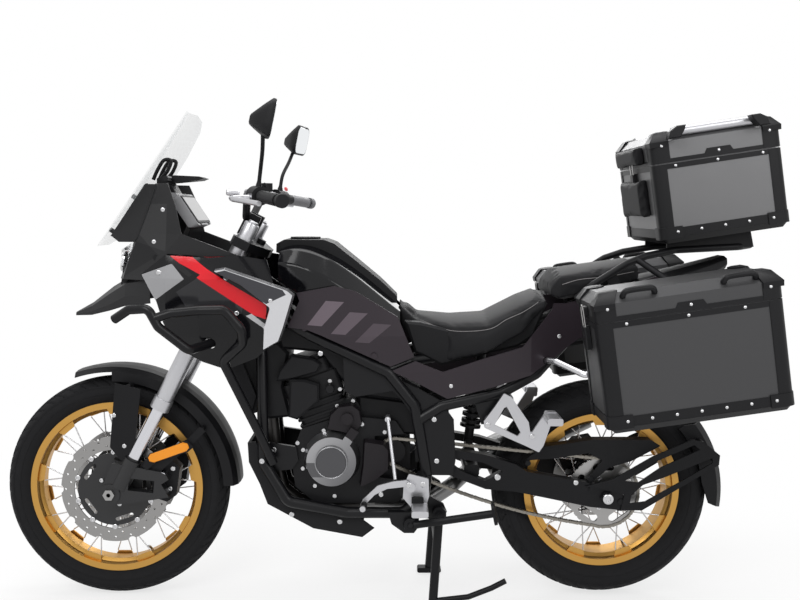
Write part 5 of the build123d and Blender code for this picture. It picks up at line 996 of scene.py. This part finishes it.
def makeLuggage():
    # the three cases, two strap loops on each pannier, two rails with end blocks on the top case
    p, t, r = cases["pannier"], cases["top"], rails
    for side, name in ((-1, "left_pannier"), (1, "right_pannier")):
        dressCase(name, p, side, "chassis", name + "_lid")
        loops = [gripLoop(p, side, first, last) for first, last in grip["pannier"]]
        piece(name + "_strap_loops", loops, "caseTrim", name + "_lid")
    dressCase("top_case", t, -1, "chassis", "top_case_lid", (-1, 1))
    along, across, up = directions(t, -1)
    bars, ends = [], []
    for face in (-1, 1):
        bars.append(tube(np.array([edgePoint(t, -1, face, a, r["off"]) for a in r["along"]]), r["r"], 14))
        at, out = edgePoint(t, -1, face, 0, 0), across * face
        for pair in r["blocks"]:
            k = 1 if pair[1] > pair[0] else -1
            outline = [(pair[end] + step * k, high) for end, step, high in r["outline"]]
            ends.append(onPlane(outline[::k], at + out * r["blockOut"], along, up, out, r["blockDeep"], 3))
    piece("top_case_side_bars", bars, "satin", "top_case_lid")
    piece("top_case_bar_ends", ends, "caseTrim", "top_case_lid")


makeLuggage()
print("luggage")


# seats and backrests: the CAD pads blown up as cloth
pads = dict(
    # start: how far the pad is drawn in before it swells
    merge=1e-5, voxel=5.0, ease=6, easeFactor=0.5, pressure=4.0, quality=4, frames=20, start=1.6,
    cap=dict(rider_seat=5.0, passenger_seat=5.0, lower_backrest=5.0, upper_backrest=4.0),
    body=dict(
        rider_seat="chassis", passenger_seat="chassis", lower_backrest="chassis",
        upper_backrest="top_case_lid",
    ),
)


def settle(obj):
    # a piece's modifiers worked into its mesh
    graph = bpy.context.evaluated_depsgraph_get()
    done = bpy.data.meshes.new_from_object(obj.evaluated_get(graph))
    obj.modifiers.clear()
    obj.data = done


def padShape(node):
    # a copy of the CAD pad in even voxels, eased and drawn in along its normals by the swell it will get
    obj = added(node + "_cover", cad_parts[node].data.copy())
    facesOut(obj.data, pads["merge"])
    remesh = obj.modifiers.new("voxels", "REMESH")
    remesh.mode, remesh.voxel_size = "VOXEL", pads["voxel"] * mm
    settle(obj)
    relax = obj.modifiers.new("ease", "SMOOTH")
    relax.factor, relax.iterations = pads["easeFactor"], pads["ease"]
    settle(obj)
    normals = np.zeros(len(obj.data.vertices) * 3)
    obj.data.vertices.foreach_get("normal", normals)
    drawn = meshPoints(obj.data) - normals.reshape(-1, 3) * pads["start"] * mm
    obj.data.vertices.foreach_set("co", drawn.ravel())
    obj.data.update()
    return obj, meshPoints(obj.data)


def swell(made):
    # cloth under pressure; each point moves as far as the cloth took it, but no further than the cap
    for obj, _ in made.values():
        cloth = obj.modifiers.new("cloth", "CLOTH")
        cloth.settings.use_pressure = True
        cloth.settings.uniform_pressure_force = pads["pressure"]
        cloth.settings.effector_weights.gravity = 0
        cloth.settings.quality = pads["quality"]
    for f in range(1, pads["frames"] + 1):
        bpy.context.scene.frame_set(f)
    graph = bpy.context.evaluated_depsgraph_get()
    for node, (obj, before) in made.items():
        move = meshPoints(obj.evaluated_get(graph).data) - before
        far = np.linalg.norm(move, axis=1)[:, None]
        share = np.minimum(1, pads["cap"][node] * mm / np.maximum(far, 1e-9))
        obj.modifiers.clear()
        obj.data.vertices.foreach_set("co", (before + move * share).ravel())
    bpy.context.scene.frame_set(1)


def makePads():
    made = {node: padShape(node) for node in pads["cap"]}
    swell(made)
    for node, (obj, _) in made.items():
        obj.data.materials.clear()
        obj.data.materials.append(m["leather"].mat)
        obj.data.shade_smooth()
        finer = obj.modifiers.new("finer", "SUBSURF")
        finer.levels = finer.render_levels = 1
        settle(obj)
        obj.data.shade_smooth()
        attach(obj, pads["body"][node])
        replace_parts(obj, node)
    return {node: obj for node, (obj, _) in made.items()}


covers = makePads()


# sewn lines in side view on the two seats
seams = dict(
    rider_seat=((112, 836), (200, 812), (300, 818), (352, 846), (400, 868), (448, 896)),
    passenger_seat=((510, 944), (560, 958), (640, 966), (716, 980)),
)
thread = dict(r=0.9, off=0.5)


def makeSeams():
    # a curve through each line's points, laid on the cover from both sides
    for node, line in seams.items():
        tree = searchTree([covers[node].data], 4)
        curve = curveThrough([(x, 0, z) for x, z in line], 60)[:, ::2]
        shapes = []
        for side in (-1, 1):
            hits = [sideHit(tree, x, z, side) for x, z in curve]
            points = [tuple(hit + Vector((0, side * thread["off"], 0))) for hit in hits if hit]
            shapes.append(tube(np.array(points), thread["r"], 5))
        piece(node + "_seam", shapes, "thread", "chassis")


makeSeams()
print("seats")


# engine and frame trim, outlines in side view
engineTrim = dict(
    # plate between tank and engine
    coverY=152.0, coverThick=4.5, coverBevel=1.5, coverBolts=((-172, 748), (150, 560), (158, 440)),
    coverBolt=(7, 4),
    cover=[
        (-272, 813), (-225, 813), (-157, 775), (7, 693), (110, 646), (166, 615), (206, 560), (212, 440),
        (204, 398), (112, 398), (112, 480), (96, 560), (60, 612), (33, 640), (-75, 623), (-105, 640),
        (-109, 740), (-208, 796),
    ],
    # raised blocks on the left: outline, depth, bevel
    blockY=-88.0,
    blocks=(
        ([(-302, 661), (-293, 692), (-258, 738), (-193, 727), (-172, 712), (-185, 688), (-254, 668)], 36, 5),
        ([(-262, 668), (-219, 668), (-178, 655), (-178, 606), (-241, 552), (-267, 560)], 46, 6),
    ),
    # closed dark housings: outline, half breadth
    housingBevel=8,
    housings=dict(
        airbox=(
            [
                (-312, 826), (-225, 812), (0, 702), (112, 640), (60, 600), (-40, 612), (-120, 664),
                (-182, 742), (-290, 752),
            ],
            96,
        ),
        starter_cover=([(-70, 616), (60, 600), (124, 560), (118, 496), (40, 500), (-70, 540)], 78),
        radiator_fan=(
            [(-428, 744), (-300, 772), (-268, 740), (-284, 640), (-262, 552), (-330, 545), (-372, 590)], 92
        ),
    ),
    seatBase=[
        (66, 838), (94, 748), (112, 742), (170, 712), (388, 767), (431, 797), (470, 890), (447, 898),
        (351, 846), (220, 808), (112, 834),
    ],
    seatHalf=141, seatBevel=7,
    # ring round the round cover's disc: radius, breadth, thickness, steps
    ring=(45, -159.4, 1.6, 60),
    engineBolt=(6.5, 5), plateBolt=(7.5, 5), footBolts=[(79, 384, 8, 4), (118, 382, 8, 4)],
    engineBolts=[
        (-129, 586), (-83, 600), (-56, 536), (-167, 516), (-227, 459), (-228, 404), (-193, 353), (-136, 323),
        (-243, 479), (-277, 490), (-149, 661), (-120, 637), (9, 512),
    ],
    plateBolts=[(-310, 462), (-234, 333), (-120, 252), (-259, 273), (-1, 328), (22, 251), (-340, 437)],
    toe=((8, -16), (9, -12), (9, 12), (8, 16)), toeAt=(-47, -222, 328), rest=(34, 30, 6),
    restAt=(103, -213, 338),
    plug=((13, -4), (13, 7), (11, 9), (4, 9)), plugAt=(-148, -118, 640),
)


def makeEngineTrim():
    # plates, blocks and housings are outlines given thickness; bolts sit on the castings
    e = engineTrim
    outside = e["coverY"] + e["coverThick"]
    plates = [slab(e["cover"], s * e["coverY"], s * outside, e["coverBevel"]) for s in (-1, 1)]
    piece("side_covers", plates, "plastic", "chassis")
    spots = [((x, s * outside, z), (0, s, 0)) for s in (-1, 1) for x, z in e["coverBolts"]]
    heads = [head(boltHead, at, out, *e["coverBolt"]) for at, out in spots]
    piece("side_cover_bolts", heads, "bolt", "chassis")
    blocks = [slab(outline, e["blockY"], e["blockY"] - deep, bevel) for outline, deep, bevel in e["blocks"]]
    piece("engine_blocks", blocks, "castBlack", "chassis")
    places = [at + e["engineBolt"] for at in e["engineBolts"]]
    boltsOn("engine_bolts", "chassis", ["engine", "engine_covers"], places, (-1,))
    places = [at + e["plateBolt"] for at in e["plateBolts"]]
    boltsOn("plate_bolts", "chassis", ["skid_plate", "main_frame", "engine"], places)
    for name, (outline, half) in e["housings"].items():
        piece(name, [slabBoth(outline, half, e["housingBevel"])], "castBlack", "chassis")
    base = slabBoth(e["seatBase"], e["seatHalf"], e["seatBevel"])
    piece("seat_base", [base], "leather", "chassis")
    radius, y, thick, steps = e["ring"]
    a = np.linspace(0, 2 * pi, steps, endpoint=False)
    (cx, cz), level = roundCover["at"], np.full(steps, y)
    ring = tube(np.c_[cx + radius * np.cos(a), level, cz + radius * np.sin(a)], thick, 6, True)
    piece("round_cover_lines", [ring], "grey", "chassis")
    boltsOn("foot_plate_bolts", "chassis", ["left_foot_plate", "right_foot_plate"], e["footBolts"])
    # rubbers on the gear lever's toe and on the foot rest
    toe = turned(e["toe"], e["toeAt"], (0, 1, 0), 14)
    rest = onPlane(roundedBox(*e["rest"]), e["restAt"], (1, 0, 0), (0, 0, 1), (0, -1, 0), 9, 3)
    piece("toe_rubbers", [toe, rest], "rubber", "chassis")
    plug = turned(e["plug"], e["plugAt"], (0, -1, 0), 18)
    piece("engine_plug", [plug], "castBlack", "chassis")


makeEngineTrim()


# instruments; plates are width, height and corner, then how far off the display plane, depth, bevel
cockpit = dict(
    up=(-0.548, 0.0, 0.836), rim=((184, 94, 10), -0.5, 3.0, 1.2), screen=((168, 80, 6), 2.0, 1.4, 0.4),
    key=((16, 7, 3), 0.0, 2.2, 0.8), keysAt=((-60, -49), (60, -49)),
    # slotted holder standing on the hood: breadths, loop in side view, thickness
    holderY=(-34, 34), holderR=5.5,
    holder=((-664, 1236), (-650, 1266), (-632, 1292), (-612, 1290), (-622, 1262), (-640, 1240)),
)


def makeInstruments():
    # rim, screen and keys as plates on the display plane; the holder is two bent rods
    c = cockpit
    at, out, up = (np.array(v) for v in (displayAt, displayOut, c["up"]))

    def plate(key, dx=0, dy=0):
        # its outline shifted on the plane, its foot moved out of the plane
        box, off, deep, bevel = c[key]
        return onPlane(roundedBox(*box) + (dx, dy), at + out * off, (0, 1.0, 0), up, out, deep, bevel)

    piece("display_rim", [plate("rim")], "plastic", "chassis")
    piece("display_screen", [plate("screen")], "display", "chassis")
    loops = [curveThrough([(x, y, z) for x, z in c["holder"]], 30) for y in c["holderY"]]
    piece("screen_holder", [tube(loop, c["holderR"], 8) for loop in loops], "black", "chassis")
    keys = [plate("key", *place) for place in c["keysAt"]]
    piece("display_keys", keys, "plastic", "chassis")


makeInstruments()


# right mirror: middle of its glass, its up and out directions; the left one is its mirror image
mirrors = dict(
    at=(-272.0, 397.0, 1378.0), up=(0.2, 0.0, 0.98), out=(0.98, 0.0, -0.2), turn=-0.16, glass=(138, 84, 25),
    # sections of the head: width, height, corner, distance behind the glass, lift
    # aside: how far a section moves aside, as a share of its lift
    rows=(
        (146, 92, 29, 0, 0), (150, 96, 30, 3, 0), (150, 96, 30, 9, 0), (120, 72, 26, 26, -4),
        (78, 44, 16, 44, -9), (44, 24, 9, 56, -12), (30, 14, 5, 58, -12),
    ),
    aside=0.6,
    stem=(
        (-330, 248, 1206), (-328, 250, 1226), (-322, 262, 1262), (-309, 322, 1304), (-300, 378, 1344),
        (-297, 394, 1366)
    ),
    # thickness of the stem: shares of its points, radius
    shares=(0, 0.14, 0.2, 0.84, 0.9, 1), radii=(10, 8, 5.5, 5.5, 8.5, 8), steps=28,
)


def makeMirrors():
    # a stem with a boot and a tapered head turned a little about the upright, with glass in a thin rim
    c = mirrors
    shapes = []
    for side, name in ((-1, "left"), (1, "right")):
        turn = side * c["turn"]
        spin = np.array(((cos(turn), sin(turn), 0), (-sin(turn), cos(turn), 0), (0, 0, 1)))
        at = np.array(c["at"]) * (1, side, 1)
        across, up, out = (np.array(v) @ spin for v in ((0, 1.0, 0), c["up"], c["out"]))
        loops = []
        for wide, high, r, back, lift in c["rows"]:
            o = roundedBox(wide, high, r, 7) + (-side * lift * c["aside"], lift)
            loops.append(at - out * back + o[:, :1] * across + o[:, 1:] * up)
        shapes.append(rings(loops))
        path = curveThrough([(x, side * y, z) for x, y, z in c["stem"]], c["steps"])
        shapes.append(tube(path, np.interp(np.linspace(0, 1, c["steps"]), c["shares"], c["radii"]), 10))
        glass = onPlane(roundedBox(*c["glass"]), at - out * 0.4, across, up, out, 1.2, 0.4)
        piece(name + "_mirror_glass", [glass], "mirrorGlass", "steering")
    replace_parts(piece("mirror_heads", shapes, "plastic", "steering", 50), "mirrors")


makeMirrors()


# caps, perches and buttons, given for the right side; the left one is its mirror image
steeringTrim = dict(
    # caps: foot on the fork's line, sunk a little; radius and height from there
    forkTop=(-387.0, 1073.4), forkHalf=105.0, sunk=4.0,
    cap=((22, 0), (22, 44), (20.5, 47), (14, 47), (14, 52), (12, 54), (6, 54)),
    # perches by the grips: place, plate's across and out directions, then the lever cup
    perchAt=(-352.0, 226.0, 1190.0), perch=(30, 34, 7), perchAcross=(0.9, -0.44, 0),
    perchOut=(-0.44, -0.9, 0), perchDeep=(22, 4),
    cup=((9, 0), (9, 30), (7, 34), (3, 34)), cupAt=(-30, 24, 4), cupOut=(-0.9, 0.3, 0.1),
    # buttons: place, across, up and out directions, depth and bevel
    button=(14, 9, 3), buttonAt=(-312.0, 258.0, 1214.0), buttonAcross=(0.44, 0.9, 0), buttonUp=(-0.6, 0, 0.8),
    buttonOut=(0.2, 0, 1), buttonDeep=(7, 2),
)


def makeSteeringTrim():
    # turned caps on the fork legs, perches and buttons by the grips
    c = steeringTrim
    leg = np.array((sin(forkLean), 0, cos(forkLean)))
    x, z = c["forkTop"]
    feet = [np.array((x, side * c["forkHalf"], z)) - leg * c["sunk"] for side in (-1, 1)]
    caps = [turned(c["cap"], foot, leg, 24) for foot in feet]
    piece("fork_caps", caps, "satin", "steering")
    perches, buttons = [], []
    for side in (-1, 1):
        flip = np.array((1, side, 1))
        base = flip * c["perchAt"]
        across, out = flip * c["perchAcross"], flip * c["perchOut"]
        perches.append(onPlane(roundedBox(*c["perch"]), base, across, (0, 0, 1), out, *c["perchDeep"]))
        perches.append(turned(c["cup"], base + flip * c["cupAt"], flip * c["cupOut"], 14))
        at, across, up, out = flip * c["buttonAt"], flip * c["buttonAcross"], c["buttonUp"], c["buttonOut"]
        buttons.append(onPlane(roundedBox(*c["button"]), at, across, up, out, *c["buttonDeep"]))
    piece("lever_perches", perches, "satin", "steering")
    piece("switch_button_left", buttons[:1], "plastic", "steering")
    piece("switch_button_right", buttons[1:], "red", "steering")


makeSteeringTrim()


# projector lamps (right one given), light bar and tail lamp
lights = dict(
    lampAt=(-744.5, 38.0, 1004.0), lampOut=(-1, 0, 0.2), ring=((27, 0), (27, 5), (24, 6), (23, 3), (19, 2)),
    eye=((19, 1), (17, 5), (10, 8), (3, 9)),
    # plates: width, height, corner; place; up and out directions; depth, bevel
    bar=((126, 7, 3), (-744.0, 0, 1036.0), (0.28, 0, 0.96), (-0.96, 0, 0.28), 3, 1),
    tail=((84, 20, 8), (1000.0, 0, 1005.0), (0, 0, 1), (1, 0, 0), 6, 2),
)


def lampPlate(key):
    # a round-cornered plate across the machine
    box, at, up, out, deep, bevel = lights[key]
    return onPlane(roundedBox(*box), at, (0, 1, 0), up, out, deep, bevel)


def makeHeadlampParts():
    # two projector lamps turned about their axes and a light bar, behind the clear lens
    c = lights
    places = [np.array(c["lampAt"]) * (1, side, 1) for side in (-1, 1)]
    bowls = [turned(c["ring"], at, c["lampOut"], 24) for at in places]
    eyes = [turned(c["eye"], at, c["lampOut"], 20) for at in places]
    piece("lamp_rings", bowls, "chrome", "chassis")
    piece("lamp_eyes", eyes, "mirrorGlass", "chassis")
    piece("lamp_bar", [lampPlate("bar")], "lampMirror", "chassis")


# reflectors on arms beside the fork legs: outlines, then inner and outer face and bevel
reflectors = dict(
    reflector=[
        (-665, 449), (-570, 484), (-557, 480), (-553, 468), (-560, 459), (-654, 425), (-667, 428),
        (-671, 439),
    ],
    arm=[(-690, 412), (-668, 450), (-560, 488), (-540, 470), (-556, 456), (-650, 424), (-676, 400)],
    armY=(119, 123, 1), reflectorY=(122.5, 128, 2),
)


def makeReflectors():
    # outlines in side view given thickness, one pair on each side
    c = reflectors
    for name, key, finish, slot in (
        ("reflector_arms", "arm", "black", "black_metal"),
        ("fork_reflectors", "reflector", "amber", "clear_lens"),
    ):
        near, far, bevel = c[key + "Y"]
        pair = [slab(c[key], side * near, side * far, bevel) for side in (-1, 1)]
        piece(name, pair, finish, "steering")


makeHeadlampParts()
makeReflectors()
piece("tail_lamp", [lampPlate("tail")], "tail", "chassis")


# small bolts on the bodywork, by CAD node: x, z, radius, height
bodyBolts = dict(
    shrouds=[(-618, 976, 7, 4), (-396, 868, 6, 3.5)],
    nose_fairing=[(-640, 1060, 6, 3.5), (-612, 1150, 6, 3.5)],
    wings=[(-300, 905, 5.5, 3)],
    tail_panels=[(196, 660, 5.5, 3), (500, 800, 5.5, 3)],
    swingarm=[(334, 388, 9, 6), (560, 372, 7, 4), (*rearAxle, 15, 9)],
    passenger_brackets=[(424, 520, 7, 4), (300, 552, 7, 4)],
)
# bolts that steer: name, CAD nodes, places
steeringBolts = (
    (
        "fork_bolts", ["front_mudguard", "left_fork", "right_fork"],
        [(-770, 560, 6, 3.5), (-742, 470, 6, 3.5), (*frontAxle, 13, 7)],
    ),
    ("caliper_bolts", ["front_calipers"], [(-608, 398, 7, 5), (-618, 338, 7, 5)]),
)


def makeBodyBolts():
    # each on the first surface met from its side
    for node, places in bodyBolts.items():
        boltsOn(node + "_bolts", "chassis", [node], places)
    for name, nodes, places in steeringBolts:
        boltsOn(name, "steering", nodes, places)


makeBodyBolts()
print("engine trim, cockpit and bolts")


# floor, backdrop and light; reach in metres
stageLook = dict(
    reach=14.0, floor=(0.93, 0.93, 0.93), nearWhite=0.72, fadeFrom=900.0, fadeOver=1500.0, worldGlow=0.5
)
white = (1.0, 1.0, 1.0, 1.0)


def seenPlainly(tree):
    # 1 for rays from the camera, off a mirror surface or through glass: the largest of the three
    path = nodeIn(tree, "ShaderNodeLightPath")
    seen = path.outputs["Is Camera Ray"]
    for ray in ("Is Glossy Ray", "Is Transmission Ray"):
        larger = nodeIn(tree, "ShaderNodeMath", dict(operation="MAXIMUM"), {0: seen, 1: path.outputs[ray]})
        seen = larger.outputs[0]
    return seen


def makeFloor():
    # part lit and part plain white; the white share grows from the near value to 1 away from the middle
    s = stageLook
    r = s["reach"]
    mesh = bpy.data.meshes.new("floor")
    mesh.from_pydata([(-r, -r, 0), (r, -r, 0), (r, r, 0), (-r, r, 0)], [], [(0, 1, 2, 3)])
    added("floor", mesh)
    paint = Paint("paleFloor", s["floor"], 0.9, 0.0, 0.0)
    mesh.materials.append(paint.mat)
    x, y, _ = paint.place()
    away = (x * x + y * y).maths("SQRT", x * x + y * y)
    grown = ((away - s["fadeFrom"]) * (1 / s["fadeOver"])).high(0.0).low(1.0)
    share = (grown * (1 - s["nearWhite"]) + s["nearWhite"]) * Val(paint, seenPlainly(paint.tree))
    plain = paint.node("ShaderNodeEmission", None, {0: white, 1: 1.0})
    mix = paint.node("ShaderNodeMixShader", None, {0: share, 1: paint.shader.outputs[0], 2: plain.outputs[0]})
    paint.tree.links.new(mix.outputs[0], paint.tree.nodes["Material Output"].inputs[0])


def makeWorld():
    # soft glow for the light, plain white where it is seen
    world = bpy.data.worlds.new("softWorld")
    bpy.context.scene.world = world
    world.use_nodes = True
    tree = world.node_tree
    glow = tree.nodes["Background"]
    glow.inputs[0].default_value = white
    glow.inputs[1].default_value = stageLook["worldGlow"]
    plain = nodeIn(tree, "ShaderNodeBackground", None, {0: white, 1: 1.0})
    sockets = {0: seenPlainly(tree), 1: glow.outputs[0], 2: plain.outputs[0]}
    mix = nodeIn(tree, "ShaderNodeMixShader", None, sockets)
    tree.links.new(mix.outputs[0], tree.nodes["World Output"].inputs[0])


lamps = (
    # name, place, aim, width, height (metres), watts
    ("keyPanel", (-1.6, -3.4, 3.4), (0, 0, 0.6), 2.6, 1.6, 80),
    ("fillPanel", (2.4, -3.0, 2.4), (0.2, 0, 0.6), 2.2, 1.6, 35),
    ("topPanel", (0, 0.3, 4.2), (0, 0, 0.5), 3.2, 2.2, 75),
    ("rimPanel", (0.5, 3.0, 2.6), (0, 0, 0.7), 2.4, 1.2, 40),
)


def makeLamps():
    # area lights turned from their place to their aim
    for name, place, aim, wide, high, watts in lamps:
        data = bpy.data.lights.new(name, "AREA")
        data.shape, data.size, data.size_y, data.energy = "RECTANGLE", wide, high, watts
        obj = added(name, data)
        obj.location = place
        obj.rotation_euler = (Vector(aim) - Vector(place)).to_track_quat("-Z", "Y").to_euler()


makeFloor()
makeWorld()
makeLamps()
bpy.context.scene.view_settings.view_transform = "Standard"
print("stage and light")
